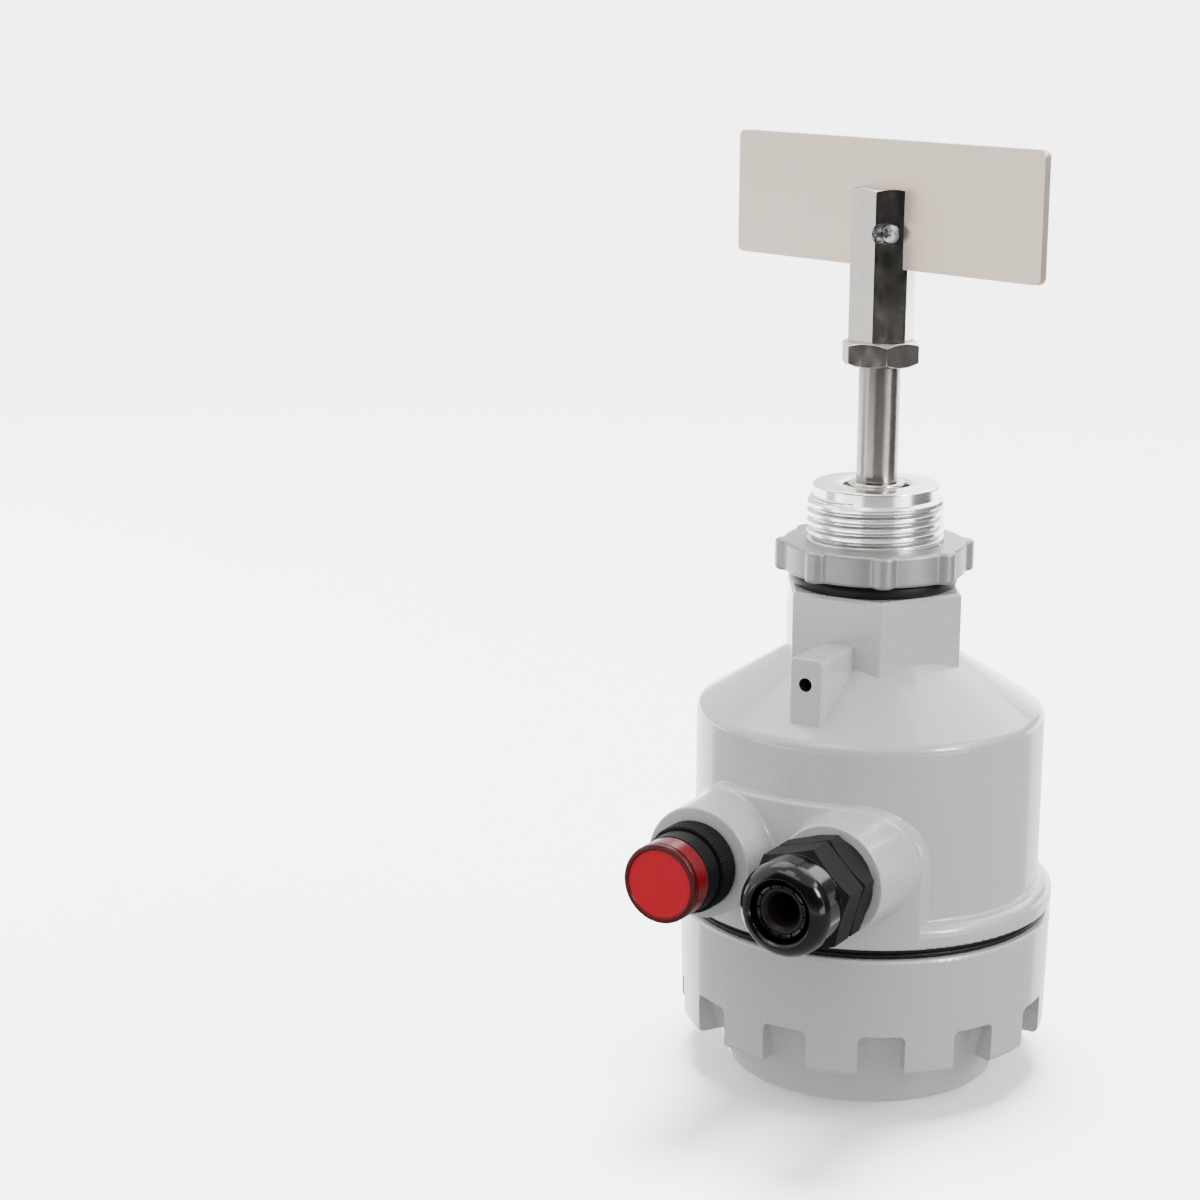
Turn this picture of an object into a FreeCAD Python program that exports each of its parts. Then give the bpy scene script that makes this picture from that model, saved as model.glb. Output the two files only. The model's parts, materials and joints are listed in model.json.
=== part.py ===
"""Rotary paddle level switch with an alarm lamp, standing on its screw cover.

Lengths are in millimetres and angles in degrees, with +Z up. The origin is the centre of
the flat foot under the cover. The cable entry and the lamp entry point to -Y, and the
paddle shaft, the process thread, the housing and the cover share the Z axis.

Each piece of the switch is written to parts/NAME.step. Screws of one kind share a file.
"""
import FreeCAD, Part
import math
import os

V = FreeCAD.Vector

# Clearances between pieces
running_fit = 0.05
thread_fit = 0.10
seal_fit = 0.20
sliding_gap = 0.30

# Shares and closeness that several pieces use
pan_rounding = 0.6
hexagon_crown = 0.96
upright = 0.99
same_point = 1e-6
same_surface = 0.02

# Shaft and the radial steps from it to the spigot's thread
shaft_radius = 5.0
bearing_depth = 6.0
spigot_wall = 3.0
spigot_step = 2.62
neck_margin = 3.63

# Radial steps from the shaft to the cover's rim
coupling_wall = 3.5
coupling_gap = 1.0
pivot_wall = 2.0
post_offset = 6.0
post_edge = 3.5
gearbox_overhang = 3.6
motor_step = 0.6
switch_gap = 3.5
switch_edge = 1.7
arm_gap = 1.6
body_wall = 4.8
body_inset = 3.4
flange_overhang = 0.1

# Heights from the entries' axis up to the housing's shoulder
entry_rise = 5.8
board_gap = 6.0
motor_floor_gap = 4.5
motor_hub_height = 1.5
motor_height = 17.0
gearbox_height = 7.5
motor_gap = 3.0
swing_plate_thickness = 2.0
spring_space = 4.0
chassis_thickness = 2.0
chassis_drop = 13.3

# Screw cover
cover_height = 41.0
cover_skirt_taper = 0.7
cover_skirt_drop = 11.7
cover_core_depth = 5.4
cover_foot_taper = 7.4
cover_foot_round = 2.0
cover_skirt_round = 1.5
cover_rim_round = 0.8
cover_wall = 4.0
cover_floor = 4.0
cover_grip_count = 12
cover_grip_width = 11.3
cover_grip_height = 10.2
cover_grip_corner = 2.4
cover_grip_crown = 1.6
cover_grip_turn = 1.5
cover_thread_wall = 3.5
cover_thread_length = 15.0

# Cover seal
seal_thickness = 2.6
seal_inset = 1.4

# Housing casting
flange_height = 5.4
flange_edge = 0.6
flange_round = 2.8
flange_root = 0.8
cone_height = 12.1
neck_height = 18.3
shoulder_fillet = 3.0
ceiling_thickness = 4.4
neck_edge = 1.0
neck_chamfer = 0.7
thread_edge = 0.8
lug_edge = 0.6

# Entry block and its two bosses
entry_spacing = 32.0
boss_root_radius = 14.2
boss_taper = 0.8
boss_edge = 0.5
arch_margin = 0.4
arch_edge = 0.8
boss_root_fillet = 1.0
boss_root_depth = 10.1
lamp_boss_length = 11.7
gland_boss_length = 7.4
entry_thread_radius = 8.0

# Lug on the cone
lug_width = 8.2
lug_inset = 5.1
lug_offset = 0.8
lug_rise = 7.1
lug_root = 2.0
lug_hole_radius = 1.65
lug_hole_rise = 0.9
lug_hole_depth = 10.0

# Process connection
spigot_height = 24.7
spigot_pilot_step = 1.22
spigot_pilot_height = 2.4
spigot_relief_width = 0.6
spigot_relief_depth = 1.3
spigot_edge = 0.5
spigot_seal_depth = 8.0
spigot_seal_step = 3.0
gasket_thickness = 3.3
gasket_inset = 0.05
nut_height = 7.6
nut_rim = 5.58
nut_lobe_count = 8
nut_lobe_radius = 2.9
nut_lobe_depth = 0.9
nut_lobe_blend = 1.2
nut_edge = 0.9
nut_turn = -14.0

# Paddle shaft and its bearings
shaft_free_length = 28.7
bearing_width = 6.0
bearing_race_wall = 1.9
bearing_rim_wall = 1.7
bearing_shield_depth = 0.5
bearing_edge = 0.3
bush_length = 12.0
clip_thickness = 1.2
clip_width = 2.2
clip_gap = 3.0
groove_depth = 0.6
shaft_edge = 0.6
slinger_width = 1.7
slinger_height = 2.4
slinger_sink = 2.0
seal_lip_drop = 3.0
seal_lip = 0.8

# Paddle
paddle_turn = -19.5
jam_nut_wall = 3.5
jam_nut_height = 6.0
jam_nut_turn = 4.0
holder_wall = 2.0
holder_length = 36.2
holder_thread_depth = 13.0
blade_width = 100.0
blade_height = 30.0
blade_thickness = 2.0
blade_slot_depth = 18.9
blade_corner = 1.6
blade_screw_radius = 1.5
blade_screw_head_radius = 2.3
blade_screw_head_height = 1.2
blade_screw_seat = 1.6
blade_screw_end = 0.8
blade_screw_offset = 5.2
blade_screw_height = 10.5

# Chassis and swinging drive
chassis_screw_inset = 6.0
chassis_screw_turn = 40.0
chassis_screw_length = 9.0
chassis_boss_radius = 4.5
small_screw_radius = 1.6
small_screw_head_radius = 3.0
small_screw_head_height = 2.2
pivot_flange_width = 3.0
pivot_flange_height = 1.5
pivot_edge = 0.4
spring_height = 2.4
spring_strip = 0.6
spring_lead = 1.2
spring_half_turns = 5
spring_post_margin = 0.3
spring_post_depth = 1.5
arm_width = 6.4
arm_turns = (98.0, 340.0)
pusher_radius = 1.5
pusher_length = 14.0
pusher_edge = 0.5
swing_angle = 10.0
stop_radius = 1.6
stop_offset = 3.0
stop_clearance = 0.08

# Synchronous gear motor
motor_post_radius = 2.5
motor_post_turn = 10.0
motor_rivet_radius = 1.5
motor_shaft_radius = 3.5
motor_shaft_seat = 1.5
gearbox_edge = 0.8
motor_edge = 2.0
motor_hub_radius = 6.0
coupling_length = 19.0
coupling_rise = 1.2
coupling_middle = 1.0
grub_screw_radius = 1.5
grub_screw_sink = 0.4

# Micro switches
switch_length = 20.0
switch_depth = 10.2
switch_width = 6.4
switch_drop = 5.0
switch_edge_round = 0.5
lever_length = 14.4
lever_thickness = 0.6
lever_width = 4.4
lever_rest_angle = 26.0
lever_pin_radius = 0.5
lever_barrel_radius = 1.1
lever_pivot_rise = 2.0
lever_ear_size = 0.9
lever_ear_inset = 0.2
switch_screw_radius = 1.1
switch_screw_inset = 5.2
switch_screw_offset = 1.6
switch_screw_head_height = 1.2
switch_screw_head_radius = 2.0
bracket_thickness = 1.5
bracket_root = 4.0

# Terminal board
pillar_flats = 5.5
pillar_inset = 3.5
pillar_turn = 80.0
board_thickness = 1.6
board_screw_head_radius = 2.8
board_screw_head_height = 2.0
wire_way_flats = 18.0
wire_way_offset = 25.0
terminal_count = 6
terminal_pitch = 8.0
terminal_depth = 15.0
terminal_height = 13.0
terminal_step = 2.2
terminal_base_height = 7.5
terminal_edge = 0.6
terminal_offset = 4.0
terminal_screw_radius = 2.1
terminal_slot = 0.7
terminal_well_depth = 4.0
terminal_screw_sink = 1.2
wire_hole_width = 3.6
wire_hole_depth = 3.5
wire_hole_low = 6.5
wire_hole_high = 2.8
earth_turn = 180.0
earth_inset = 4.2
earth_boss_radius = 4.6
earth_boss_rise = 4.0
earth_boss_height = 12.0
earth_hole_radius = 5.0
earth_screw_radius = 1.9
earth_screw_length = 7.0
earth_screw_head_radius = 3.4
earth_screw_head_height = 2.4

# Cable gland
gland_flats = 22.6
gland_collar_length = 6.9
gland_stub_length = 9.0
gland_washer_thickness = 1.4
gland_nut_hex_length = 8.0
gland_dome_length = 9.1
gland_dome_radius = 11.1
gland_dome_round = 4.5
gland_nose = 1.6
gland_mouth_radius = 7.3
gland_mouth_bevel = 0.7
gland_seat_radius = 9.0
gland_bore_radius = 5.6
gland_turn = 15.0
gland_seal_sink = 1.5
gland_seal_drop = 3.0
gland_finger_bevel = 1.5
cable_radius = 3.9
gland_cage_radius = 7.0

# Alarm lamp
lamp_ring_radius = 10.6
lamp_ring_length = 5.9
lamp_ring_gap = 0.4
lamp_ring_edge = 0.6
lamp_edge = 0.3
lamp_collar_radius = 9.6
lamp_collar_length = 5.0
lamp_collar_wall = 1.4
lamp_well_depth = 3.5
lamp_lens_radius = 9.4
lamp_lens_length = 6.6
lamp_lens_wall = 1.2
lamp_lens_dish = 0.5
lamp_back_gap = 5.0
lamp_body_radius = 7.9
lamp_nut_flats = 19.0
lamp_nut_height = 4.0
lamp_seat_radius = 11.6
lamp_pad_drop = 1.2
lamp_pad_margin = 0.6
lamp_washer_thickness = 0.8
lamp_led_radius = 2.5
lamp_led_height = 7.0
lamp_led_tip = 0.1
lamp_pin_length = 5.0
lamp_pin_width = 2.8
lamp_pin_thickness = 0.8
lamp_pin_spacing = 7.0

# Radii worked out from the shaft outwards
bearing_radius = shaft_radius + bearing_depth
neck_bore_radius = bearing_radius + spigot_wall
spigot_radius = neck_bore_radius + spigot_step
spigot_pilot_radius = spigot_radius - spigot_pilot_step
spigot_bore_radius = shaft_radius + coupling_gap
spigot_seal_radius = shaft_radius + spigot_seal_step
neck_flats = 2 * (spigot_radius + neck_margin)
neck_corner = neck_flats / 2 / math.cos(math.radians(30))
gasket_radius = neck_flats / 2 - gasket_inset
nut_radius = spigot_radius + nut_rim
nut_lobe_reach = nut_radius - nut_lobe_depth
clip_radius = shaft_radius + clip_width
slinger_radius = shaft_radius + slinger_width
jam_nut_flats = 2 * (shaft_radius + jam_nut_wall)
holder_flats = 2 * (shaft_radius + holder_wall)
coupling_radius = shaft_radius + coupling_wall
pivot_bore_radius = coupling_radius + coupling_gap
pivot_radius = pivot_bore_radius + pivot_wall
pivot_flange_radius = pivot_radius + pivot_flange_width
motor_post_circle = pivot_radius + post_offset
swing_plate_radius = motor_post_circle + post_edge
gearbox_radius = swing_plate_radius + gearbox_overhang
motor_radius = gearbox_radius - motor_step
switch_circle = gearbox_radius + switch_gap + switch_width / 2
chassis_radius = switch_circle + switch_edge
pusher_circle = chassis_radius
arm_end_radius = pusher_circle + arm_width / 2
chassis_screw_circle = chassis_radius - chassis_screw_inset
pillar_circle = chassis_radius - pillar_inset
cavity_radius = arm_end_radius + arm_gap
earth_circle = cavity_radius - earth_inset
body_radius = cavity_radius + body_wall
cover_thread_radius = cavity_radius + cover_thread_wall
cover_rim_radius = body_radius + body_inset
cover_skirt_radius = cover_rim_radius - cover_skirt_taper
cover_core_radius = cover_rim_radius - cover_core_depth
cover_foot_radius = cover_core_radius - cover_foot_taper
seal_radius = cover_rim_radius - seal_inset
flange_radius = cover_rim_radius + flange_overhang
boss_face_radius = boss_root_radius - boss_taper
entry_arch_radius = boss_root_radius + arch_margin
boss_root_reach = flange_radius - boss_root_depth
lamp_boss_reach = flange_radius + lamp_boss_length
gland_boss_reach = flange_radius + gland_boss_length
lug_reach = body_radius - lug_inset
lamp_x = -entry_spacing / 2
gland_x = entry_spacing / 2

# Heights worked out from the foot upwards
notch_top = cover_skirt_drop + cover_grip_height
thread_low = cover_height - cover_thread_length
flange_low = cover_height + seal_thickness
flange_top = flange_low + flange_height
entry_height = flange_low + boss_root_radius + entry_rise
board_top = entry_height - lamp_nut_flats / 2 / math.cos(math.radians(30)) - board_gap
board_low = board_top - board_thickness
motor_low = board_top + motor_floor_gap + motor_hub_height
gearbox_low = motor_low + motor_height
gearbox_top = gearbox_low + gearbox_height
swing_low = gearbox_top + motor_gap
swing_top = swing_low + swing_plate_thickness
chassis_low = swing_top + spring_space
chassis_top = chassis_low + chassis_thickness
stub_low = chassis_top + chassis_drop
cone_slope = cone_height / (body_radius - neck_corner)
ceiling_drop = ceiling_thickness * math.hypot(1, cone_slope)
shoulder_low = stub_low + ceiling_drop - (body_radius - neck_bore_radius - ceiling_thickness) * cone_slope
cone_top = shoulder_low + cone_height
lug_top = cone_top + lug_rise
lug_hole_height = cone_top + lug_hole_rise
neck_top = cone_top + neck_height
nut_low = neck_top + gasket_thickness
nut_high = nut_low + nut_height
spigot_top = neck_top + spigot_height
spigot_shoulder = spigot_top - spigot_pilot_height
bush_low = spigot_top - spigot_seal_depth - bush_length
jam_nut_low = spigot_top + shaft_free_length
holder_low = jam_nut_low + jam_nut_height
holder_top = holder_low + holder_length
blade_low = holder_top - blade_slot_depth
clip_low = stub_low - clip_thickness
pivot_low = swing_low - 1.8 * clip_thickness
coupling_low = pivot_low + coupling_rise
coupling_top = coupling_low + coupling_length
shaft_low = coupling_low + coupling_length / 2 + coupling_middle

# Reaches along the two entries
gland_collar_base = gland_boss_reach + gland_washer_thickness
gland_collar_top = gland_collar_base + gland_collar_length
lamp_base = lamp_boss_reach + lamp_washer_thickness
lamp_front = lamp_base + lamp_ring_length + lamp_collar_length
lamp_back = gearbox_radius + lamp_back_gap


def rounded_outline(points):
    """Closed wire in the XZ plane through (x, z) or (x, z, corner radius) points."""
    corners = [(V(p[0], 0, p[1]), p[2] if len(p) > 2 else 0.0) for p in points]
    stops = []
    for index, (corner, radius) in enumerate(corners):
        if radius == 0.0:
            stops.append((corner, corner, None))
            continue
        to_last = (corners[index - 1][0] - corner).normalize()
        to_next = (corners[(index + 1) % len(corners)][0] - corner).normalize()
        half = to_last.getAngle(to_next) / 2
        middle = (to_last + to_next).normalize()
        reach = radius / math.tan(half)
        centre = corner + middle * (radius / math.sin(half))
        stops.append((corner + to_last * reach, corner + to_next * reach, centre - middle * radius))
    edges = []
    for index, (start, end, crown) in enumerate(stops):
        if crown is not None:
            edges.append(Part.Arc(start, crown, end).toShape())
        following = stops[(index + 1) % len(stops)][0]
        if end.distanceToPoint(following) > same_point:
            edges.append(Part.LineSegment(end, following).toShape())
    return Part.Wire(edges)


def turned(points):
    """Solid of revolution about Z of an outline in the XZ plane."""
    face = Part.Face(rounded_outline(points))
    return face.revolve(V(0, 0, 0), V(0, 0, 1), 360)


def extruded(points, y_start, y_end):
    """Outline in the XZ plane drawn out along Y."""
    face = Part.Face(rounded_outline(points))
    face.translate(V(0, y_start, 0))
    return face.extrude(V(0, y_end - y_start, 0))


def cylinder(radius, low, high, x=0.0, y=0.0):
    """Upright cylinder between two heights."""
    return Part.makeCylinder(radius, high - low, V(x, y, low))


def tube(outer, inner, low, high, x=0.0, y=0.0):
    """Upright ring or sleeve."""
    return cylinder(outer, low, high, x, y).cut(cylinder(inner, low - 1, high + 1, x, y))


def box(x_low, x_high, y_low, y_high, low, high):
    """Block between pairs of limits."""
    return Part.makeBox(x_high - x_low, y_high - y_low, high - low, V(x_low, y_low, low))


def hexagon(flats, low, high, turn=0.0):
    """Upright hexagonal prism, with two flats facing -Y and +Y at no turn."""
    corner = flats / 2 / math.cos(math.radians(30))
    angles = [math.radians(turn + 60 * step) for step in range(7)]
    ring = [V(corner * math.cos(a), corner * math.sin(a), low) for a in angles]
    return Part.Face(Part.makePolygon(ring)).extrude(V(0, 0, high - low))


def chamfered_hexagon(flats, low, high, turn=0.0, both=True):
    """Hexagonal prism with its corners turned off at 30 degrees, as on a nut."""
    corner = flats / 2 / math.cos(math.radians(30))
    crown = flats / 2 * hexagon_crown
    drop = (corner - crown) * math.tan(math.radians(30))
    points = [(0, low), (corner, low), (corner, high - drop), (crown, high), (0, high)]
    if both:
        points[1:2] = [(crown, low), (corner, low + drop)]
    return hexagon(flats, low, high, turn).common(turned(points))


def spun(shape, degrees):
    """Copy of a shape turned about Z."""
    copy = shape.copy()
    copy.rotate(V(0, 0, 0), V(0, 0, 1), degrees)
    return copy


def into_entry(shape, x):
    """Copy of a shape drawn along Z, laid along -Y on an entry's axis."""
    copy = shape.copy()
    copy.rotate(V(0, 0, 0), V(1, 0, 0), 90)
    copy.translate(V(x, 0, entry_height))
    return copy


def fused(shapes):
    """One solid made of overlapping shapes."""
    return shapes[0].multiFuse(shapes[1:]).removeSplitter()


def ring_of(shape, turns):
    """Copies of a shape at several turns about Z, kept as separate solids."""
    return Part.makeCompound([spun(shape, turn) for turn in turns])


def polar(radius, degrees):
    """X and Y of a point at a radius and an angle."""
    return radius * math.cos(math.radians(degrees)), radius * math.sin(math.radians(degrees))


def thirds(start):
    """Three angles a third of a turn apart."""
    return [start, start + 120, start + 240]


def pan_screw(radius, length, head_radius, head_height, x, y, head_low):
    """Screw pointing up, with a domed head below and a shank above."""
    head = turned([
        (0, 0), (head_radius, 0, head_height * pan_rounding), (head_radius, head_height), (0, head_height)])
    head.translate(V(x, y, head_low))
    return head.fuse(cylinder(radius, head_low, head_low + head_height + length, x, y))


def is_upright(edge):
    """Whether an edge runs along Z."""
    return abs(edge.tangentAt(edge.FirstParameter).z) > upright


def cone_at(radius):
    """Height of the outer cone at a radius."""
    return shoulder_low + (body_radius - radius) * cone_slope


def cover():
    """Screw cover: a tapered bowl with a skirt that has twelve finger grips."""
    core = turned([
        (0, 0), (cover_foot_radius, 0, cover_foot_round), (cover_core_radius, notch_top),
        (cover_core_radius, cover_height), (0, cover_height)])
    skirt_inner = cover_core_radius - cover_wall
    skirt = turned([
        (skirt_inner, cover_skirt_drop), (cover_skirt_radius, cover_skirt_drop, cover_skirt_round),
        (cover_rim_radius, cover_height, cover_rim_round), (skirt_inner, cover_height)])
    grip = cover_grip()
    step = 360 / cover_grip_count
    grips = [spun(grip, cover_grip_turn + step * index) for index in range(cover_grip_count)]
    outer = core.fuse(skirt).cut(Part.makeCompound(grips))
    bore = cover_thread_radius + thread_fit
    low_radius = cover_foot_radius - cover_wall
    high_radius = cover_core_radius - cover_wall
    cavity = turned([
        (0, cover_floor), (low_radius, cover_floor, cover_foot_round), (high_radius, notch_top),
        (high_radius, thread_low - 1), (bore, thread_low - 1),
        (bore, cover_height + 1), (0, cover_height + 1)])
    return outer.cut(cavity).removeSplitter()


def cover_grip():
    """Slot between two grips, on the -Y side: round inner corners, leaning back with the core."""
    half = cover_grip_width / 2
    low = cover_skirt_drop - 1
    lean = (cover_core_radius - cover_foot_radius) / notch_top
    near = cover_foot_radius + lean * low
    far = cover_rim_radius + 2
    corner = cover_grip_corner
    outline = Part.Face(rounded_outline([
        (-half, near, corner), (half, near, corner), (half, far), (-half, far)]))
    outline.rotate(V(0, 0, 0), V(1, 0, 0), 90)
    outline.translate(V(0, 0, low))
    rise = notch_top + 1 - low
    slot = outline.extrude(V(0, -lean * rise, rise))
    crown = extruded([
        (-half, low), (half, low),
        (half, notch_top, cover_grip_crown), (-half, notch_top, cover_grip_crown)],
        0, -2 * cover_rim_radius)
    return slot.common(crown)


def cover_seal():
    """Flat rubber ring between the cover's rim and the housing's flange."""
    return tube(seal_radius, cover_thread_radius + thread_fit + seal_fit, cover_height, flange_low)


def housing_outside():
    """Turned body, cone, hexagonal neck and lug."""
    tip_radius = neck_flats / 2 - 1
    body = turned([
        (0, thread_low), (cover_thread_radius, thread_low, thread_edge), (cover_thread_radius, flange_low),
        (flange_radius, flange_low, flange_edge), (flange_radius, flange_top, flange_round),
        (body_radius, flange_top, flange_root),
        (body_radius, shoulder_low, shoulder_fillet), (tip_radius, cone_at(tip_radius)),
        (0, cone_at(tip_radius))])
    neck = hexagon(neck_flats, shoulder_low, neck_top)
    neck = neck.makeFillet(neck_edge, [e for e in neck.Edges if is_upright(e)])
    rim = [e for e in neck.Edges if e.BoundBox.ZMin > neck_top - neck_chamfer]
    neck = neck.makeChamfer(neck_chamfer, rim)
    left = lug_offset - lug_width / 2
    right = lug_offset + lug_width / 2
    foot = cone_at(lug_reach) - lug_root
    crown = 2 * lug_edge
    lug = extruded(
        [(left, foot), (right, foot), (right, lug_top, crown), (left, lug_top, crown)],
        -tip_radius, -lug_reach)
    lug = lug.makeFillet(lug_edge, [e for e in lug.Edges if e.BoundBox.YMax < lug_edge - lug_reach])
    return [body, neck, lug]


def entry_block():
    """Raised sector flush with the flange, with the lamp boss and the gland boss on it."""
    half = entry_spacing / 2 + entry_arch_radius
    top = entry_height + entry_arch_radius
    arch = extruded([
        (-half, flange_low), (half, flange_low), (half, top, entry_arch_radius),
        (-half, top, entry_arch_radius)], -cavity_radius / 2, -flange_radius - 1)
    sector = arch.common(cylinder(flange_radius, flange_low + flange_edge, top))
    rim = [e for e in sector.Edges if on_cylinder(e, flange_radius) and e.BoundBox.ZMax > flange_top]
    sector = sector.makeFillet(arch_edge, rim)
    bosses = [
        entry_boss(lamp_x, lamp_boss_reach, 0),
        entry_boss(gland_x, gland_boss_reach, 180)]
    block = fused([sector] + bosses)
    roots = [e for x in (lamp_x, gland_x) for e in boss_root_edges(block, x)]
    block = block.makeFillet(boss_root_fillet, roots)
    pad = cylinder(lamp_seat_radius + lamp_pad_margin, lamp_seat(), lamp_seat() + body_wall)
    return [block, into_entry(pad, lamp_x)]


def entry_boss(x, reach, seam_turn):
    """Tapered boss on an entry's axis, with its seam turned away from the block's edge."""
    low = boss_root_reach - body_wall
    boss = turned([
        (0, low), (boss_root_radius, low), (boss_root_radius, boss_root_reach),
        (boss_face_radius, reach, boss_edge), (0, reach)])
    return into_entry(spun(boss, seam_turn), x)


def on_cylinder(edge, radius):
    """Whether an edge lies on the upright cylinder of a radius."""
    return all(abs(math.hypot(p.x, p.y) - radius) < same_surface for p in edge.discretize(5))


def boss_root_edges(block, x):
    """Edges of the entry block where a boss rises from the sector."""
    picked = []
    for edge in block.Edges:
        points = edge.discretize(7)
        spread = [math.hypot(p.x - x, p.z - entry_height) for p in points]
        depth = [abs(math.hypot(p.x, p.y) - flange_radius) for p in points]
        on_boss = boss_face_radius < min(spread) and max(spread) < boss_root_radius + running_fit
        if on_boss and max(depth) < 2 * boss_root_fillet and edge.BoundBox.YLength > running_fit:
            picked.append(edge)
    return picked


def housing():
    """Cast housing, open below, hollow inside, with its screw bosses and tapped holes."""
    outside = fused(housing_outside() + entry_block())
    ceiling = cone_at(cavity_radius) - ceiling_drop
    cavity = turned([
        (0, thread_low - 1), (cavity_radius, thread_low - 1), (cavity_radius, ceiling, 3.0),
        (neck_bore_radius + ceiling_thickness, stub_low), (0, stub_low)])
    shell = outside.cut(cavity)
    shell = shell.cut(cylinder(neck_bore_radius, stub_low - 1, neck_top + 1))
    inner = []
    for turn in thirds(chassis_screw_turn):
        x, y = polar(chassis_screw_circle, turn)
        high = cone_at(chassis_screw_circle + chassis_boss_radius) - 1
        inner.append(cylinder(chassis_boss_radius, chassis_top, high, x, y))
    x, y = polar(earth_circle, earth_turn)
    earth_low = board_top + earth_boss_rise
    earth = cylinder(earth_boss_radius, earth_low, earth_low + earth_boss_height, x, y)
    inner.append(earth.common(cylinder(cavity_radius + 1, board_low, chassis_top)))
    shell = fused([shell] + inner)
    for turn in thirds(chassis_screw_turn):
        x, y = polar(chassis_screw_circle, turn)
        tapped = chassis_top + chassis_screw_length
        shell = shell.cut(cylinder(small_screw_radius, chassis_top - 1, tapped, x, y))
    x, y = polar(earth_circle, earth_turn)
    tapped = earth_low + earth_screw_length + 1
    shell = shell.cut(cylinder(earth_screw_radius, earth_low - 1, tapped, x, y))
    for side in (lamp_x, gland_x):
        hole = cylinder(entry_thread_radius, cavity_radius / 2, lamp_boss_reach + 1)
        shell = shell.cut(into_entry(hole, side))
    seat = cylinder(lamp_seat_radius, lamp_seat() - 2 * lamp_nut_height, lamp_seat())
    shell = shell.cut(into_entry(seat, lamp_x))
    hole = Part.makeCylinder(
        lug_hole_radius, lug_hole_depth + 1, V(lug_offset, -lug_reach - 1, lug_hole_height), V(0, 1, 0))
    return shell.cut(hole)


def lamp_seat():
    """Distance from the Z axis to the flat that the lamp's nut pulls against."""
    return math.sqrt(cavity_radius ** 2 - (entry_spacing / 2) ** 2) - lamp_pad_drop


def threaded_spigot():
    """Process connection with its seal recess, bush seat and bearing seat."""
    relief_low = nut_high + spigot_edge
    relief_high = relief_low + spigot_relief_width
    relief_radius = spigot_radius - spigot_relief_depth
    outer = turned([
        (0, stub_low), (neck_bore_radius, stub_low), (neck_bore_radius, neck_top),
        (spigot_radius, neck_top), (spigot_radius, relief_low), (relief_radius, relief_low),
        (relief_radius, relief_high), (spigot_radius, relief_high),
        (spigot_radius, spigot_shoulder, spigot_edge), (spigot_pilot_radius, spigot_shoulder),
        (spigot_pilot_radius, spigot_top, spigot_edge), (0, spigot_top)])
    recess = turned([
        (0, bush_low), (spigot_seal_radius, bush_low), (spigot_seal_radius, spigot_top - spigot_edge),
        (spigot_seal_radius + spigot_edge, spigot_top), (spigot_seal_radius + spigot_edge, spigot_top + 1),
        (0, spigot_top + 1)])
    bore = cylinder(spigot_bore_radius, stub_low - 1, spigot_top + 1)
    seat = cylinder(bearing_radius, stub_low - 1, stub_low + bearing_width)
    return outer.cut(recess).cut(bore).cut(seat)


def neck_gasket():
    """Flat ring that seals the housing's neck against the vessel wall."""
    return tube(gasket_radius, spigot_radius + seal_fit, neck_top, nut_low)


def lock_nut():
    """Cast lock nut with eight rounded lobes that blend into its rim."""
    blank = spun(cylinder(nut_radius, nut_low, nut_high), nut_turn - 90)
    lobe = cylinder(nut_lobe_radius, nut_low, nut_high, nut_lobe_reach)
    step = 360 / nut_lobe_count
    nut = fused([blank] + [spun(lobe, nut_turn - 90 + step * index) for index in range(nut_lobe_count)])
    on_rim = [e for e in nut.Edges if abs(math.hypot(e.Vertexes[0].X, e.Vertexes[0].Y) - nut_radius) < 0.01]
    nut = nut.makeFillet(nut_lobe_blend, [e for e in on_rim if is_upright(e)])
    nut = nut.makeFillet(nut_edge, [e for e in nut.Edges if not is_upright(e)])
    return nut.cut(cylinder(spigot_radius + thread_fit, nut_low - 1, nut_high + 1))


def shaft_seal():
    """Rubber lip seal in the top of the spigot."""
    high = spigot_top - seal_lip_drop
    low = spigot_top - spigot_seal_depth
    inner = shaft_radius + running_fit
    return turned([
        (inner, low), (spigot_seal_radius, low), (spigot_seal_radius, high, seal_lip / 2),
        (inner + 2 * seal_lip, high), (inner + seal_lip, high - 2 * seal_lip), (inner, high - seal_lip)])


def upper_bush():
    """Plain bronze bush that steadies the top of the shaft."""
    return tube(spigot_seal_radius, shaft_radius + running_fit, bush_low, bush_low + bush_length)


def lower_bearing():
    """Shielded ball bearing at the foot of the spigot."""
    low = stub_low
    high = low + bearing_width
    inner = shaft_radius + running_fit
    race = inner + bearing_race_wall
    rim = bearing_radius - bearing_rim_wall
    sunk_low = low + bearing_shield_depth
    sunk_high = high - bearing_shield_depth
    edge = bearing_edge
    return turned([
        (inner, low, edge), (race, low), (race, sunk_low), (rim, sunk_low), (rim, low),
        (bearing_radius, low, edge), (bearing_radius, high, edge), (rim, high), (rim, sunk_high),
        (race, sunk_high), (race, high), (inner, high, edge)])


def drive_shaft():
    """Stainless paddle shaft, turned down in a groove for its retaining ring."""
    high = holder_low + holder_thread_depth
    root = shaft_radius - groove_depth
    return turned([
        (0, shaft_low), (shaft_radius, shaft_low, shaft_edge), (shaft_radius, clip_low), (root, clip_low),
        (root, stub_low), (shaft_radius, stub_low), (shaft_radius, high, shaft_edge), (0, high)])


def retaining_ring():
    """Ring in the shaft's groove that carries the shaft on the lower bearing."""
    ring = tube(clip_radius, shaft_radius - groove_depth, clip_low, stub_low)
    return ring.cut(box(0, clip_radius + 1, -clip_gap / 2, clip_gap / 2, clip_low - 1, stub_low + 1))


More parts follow.
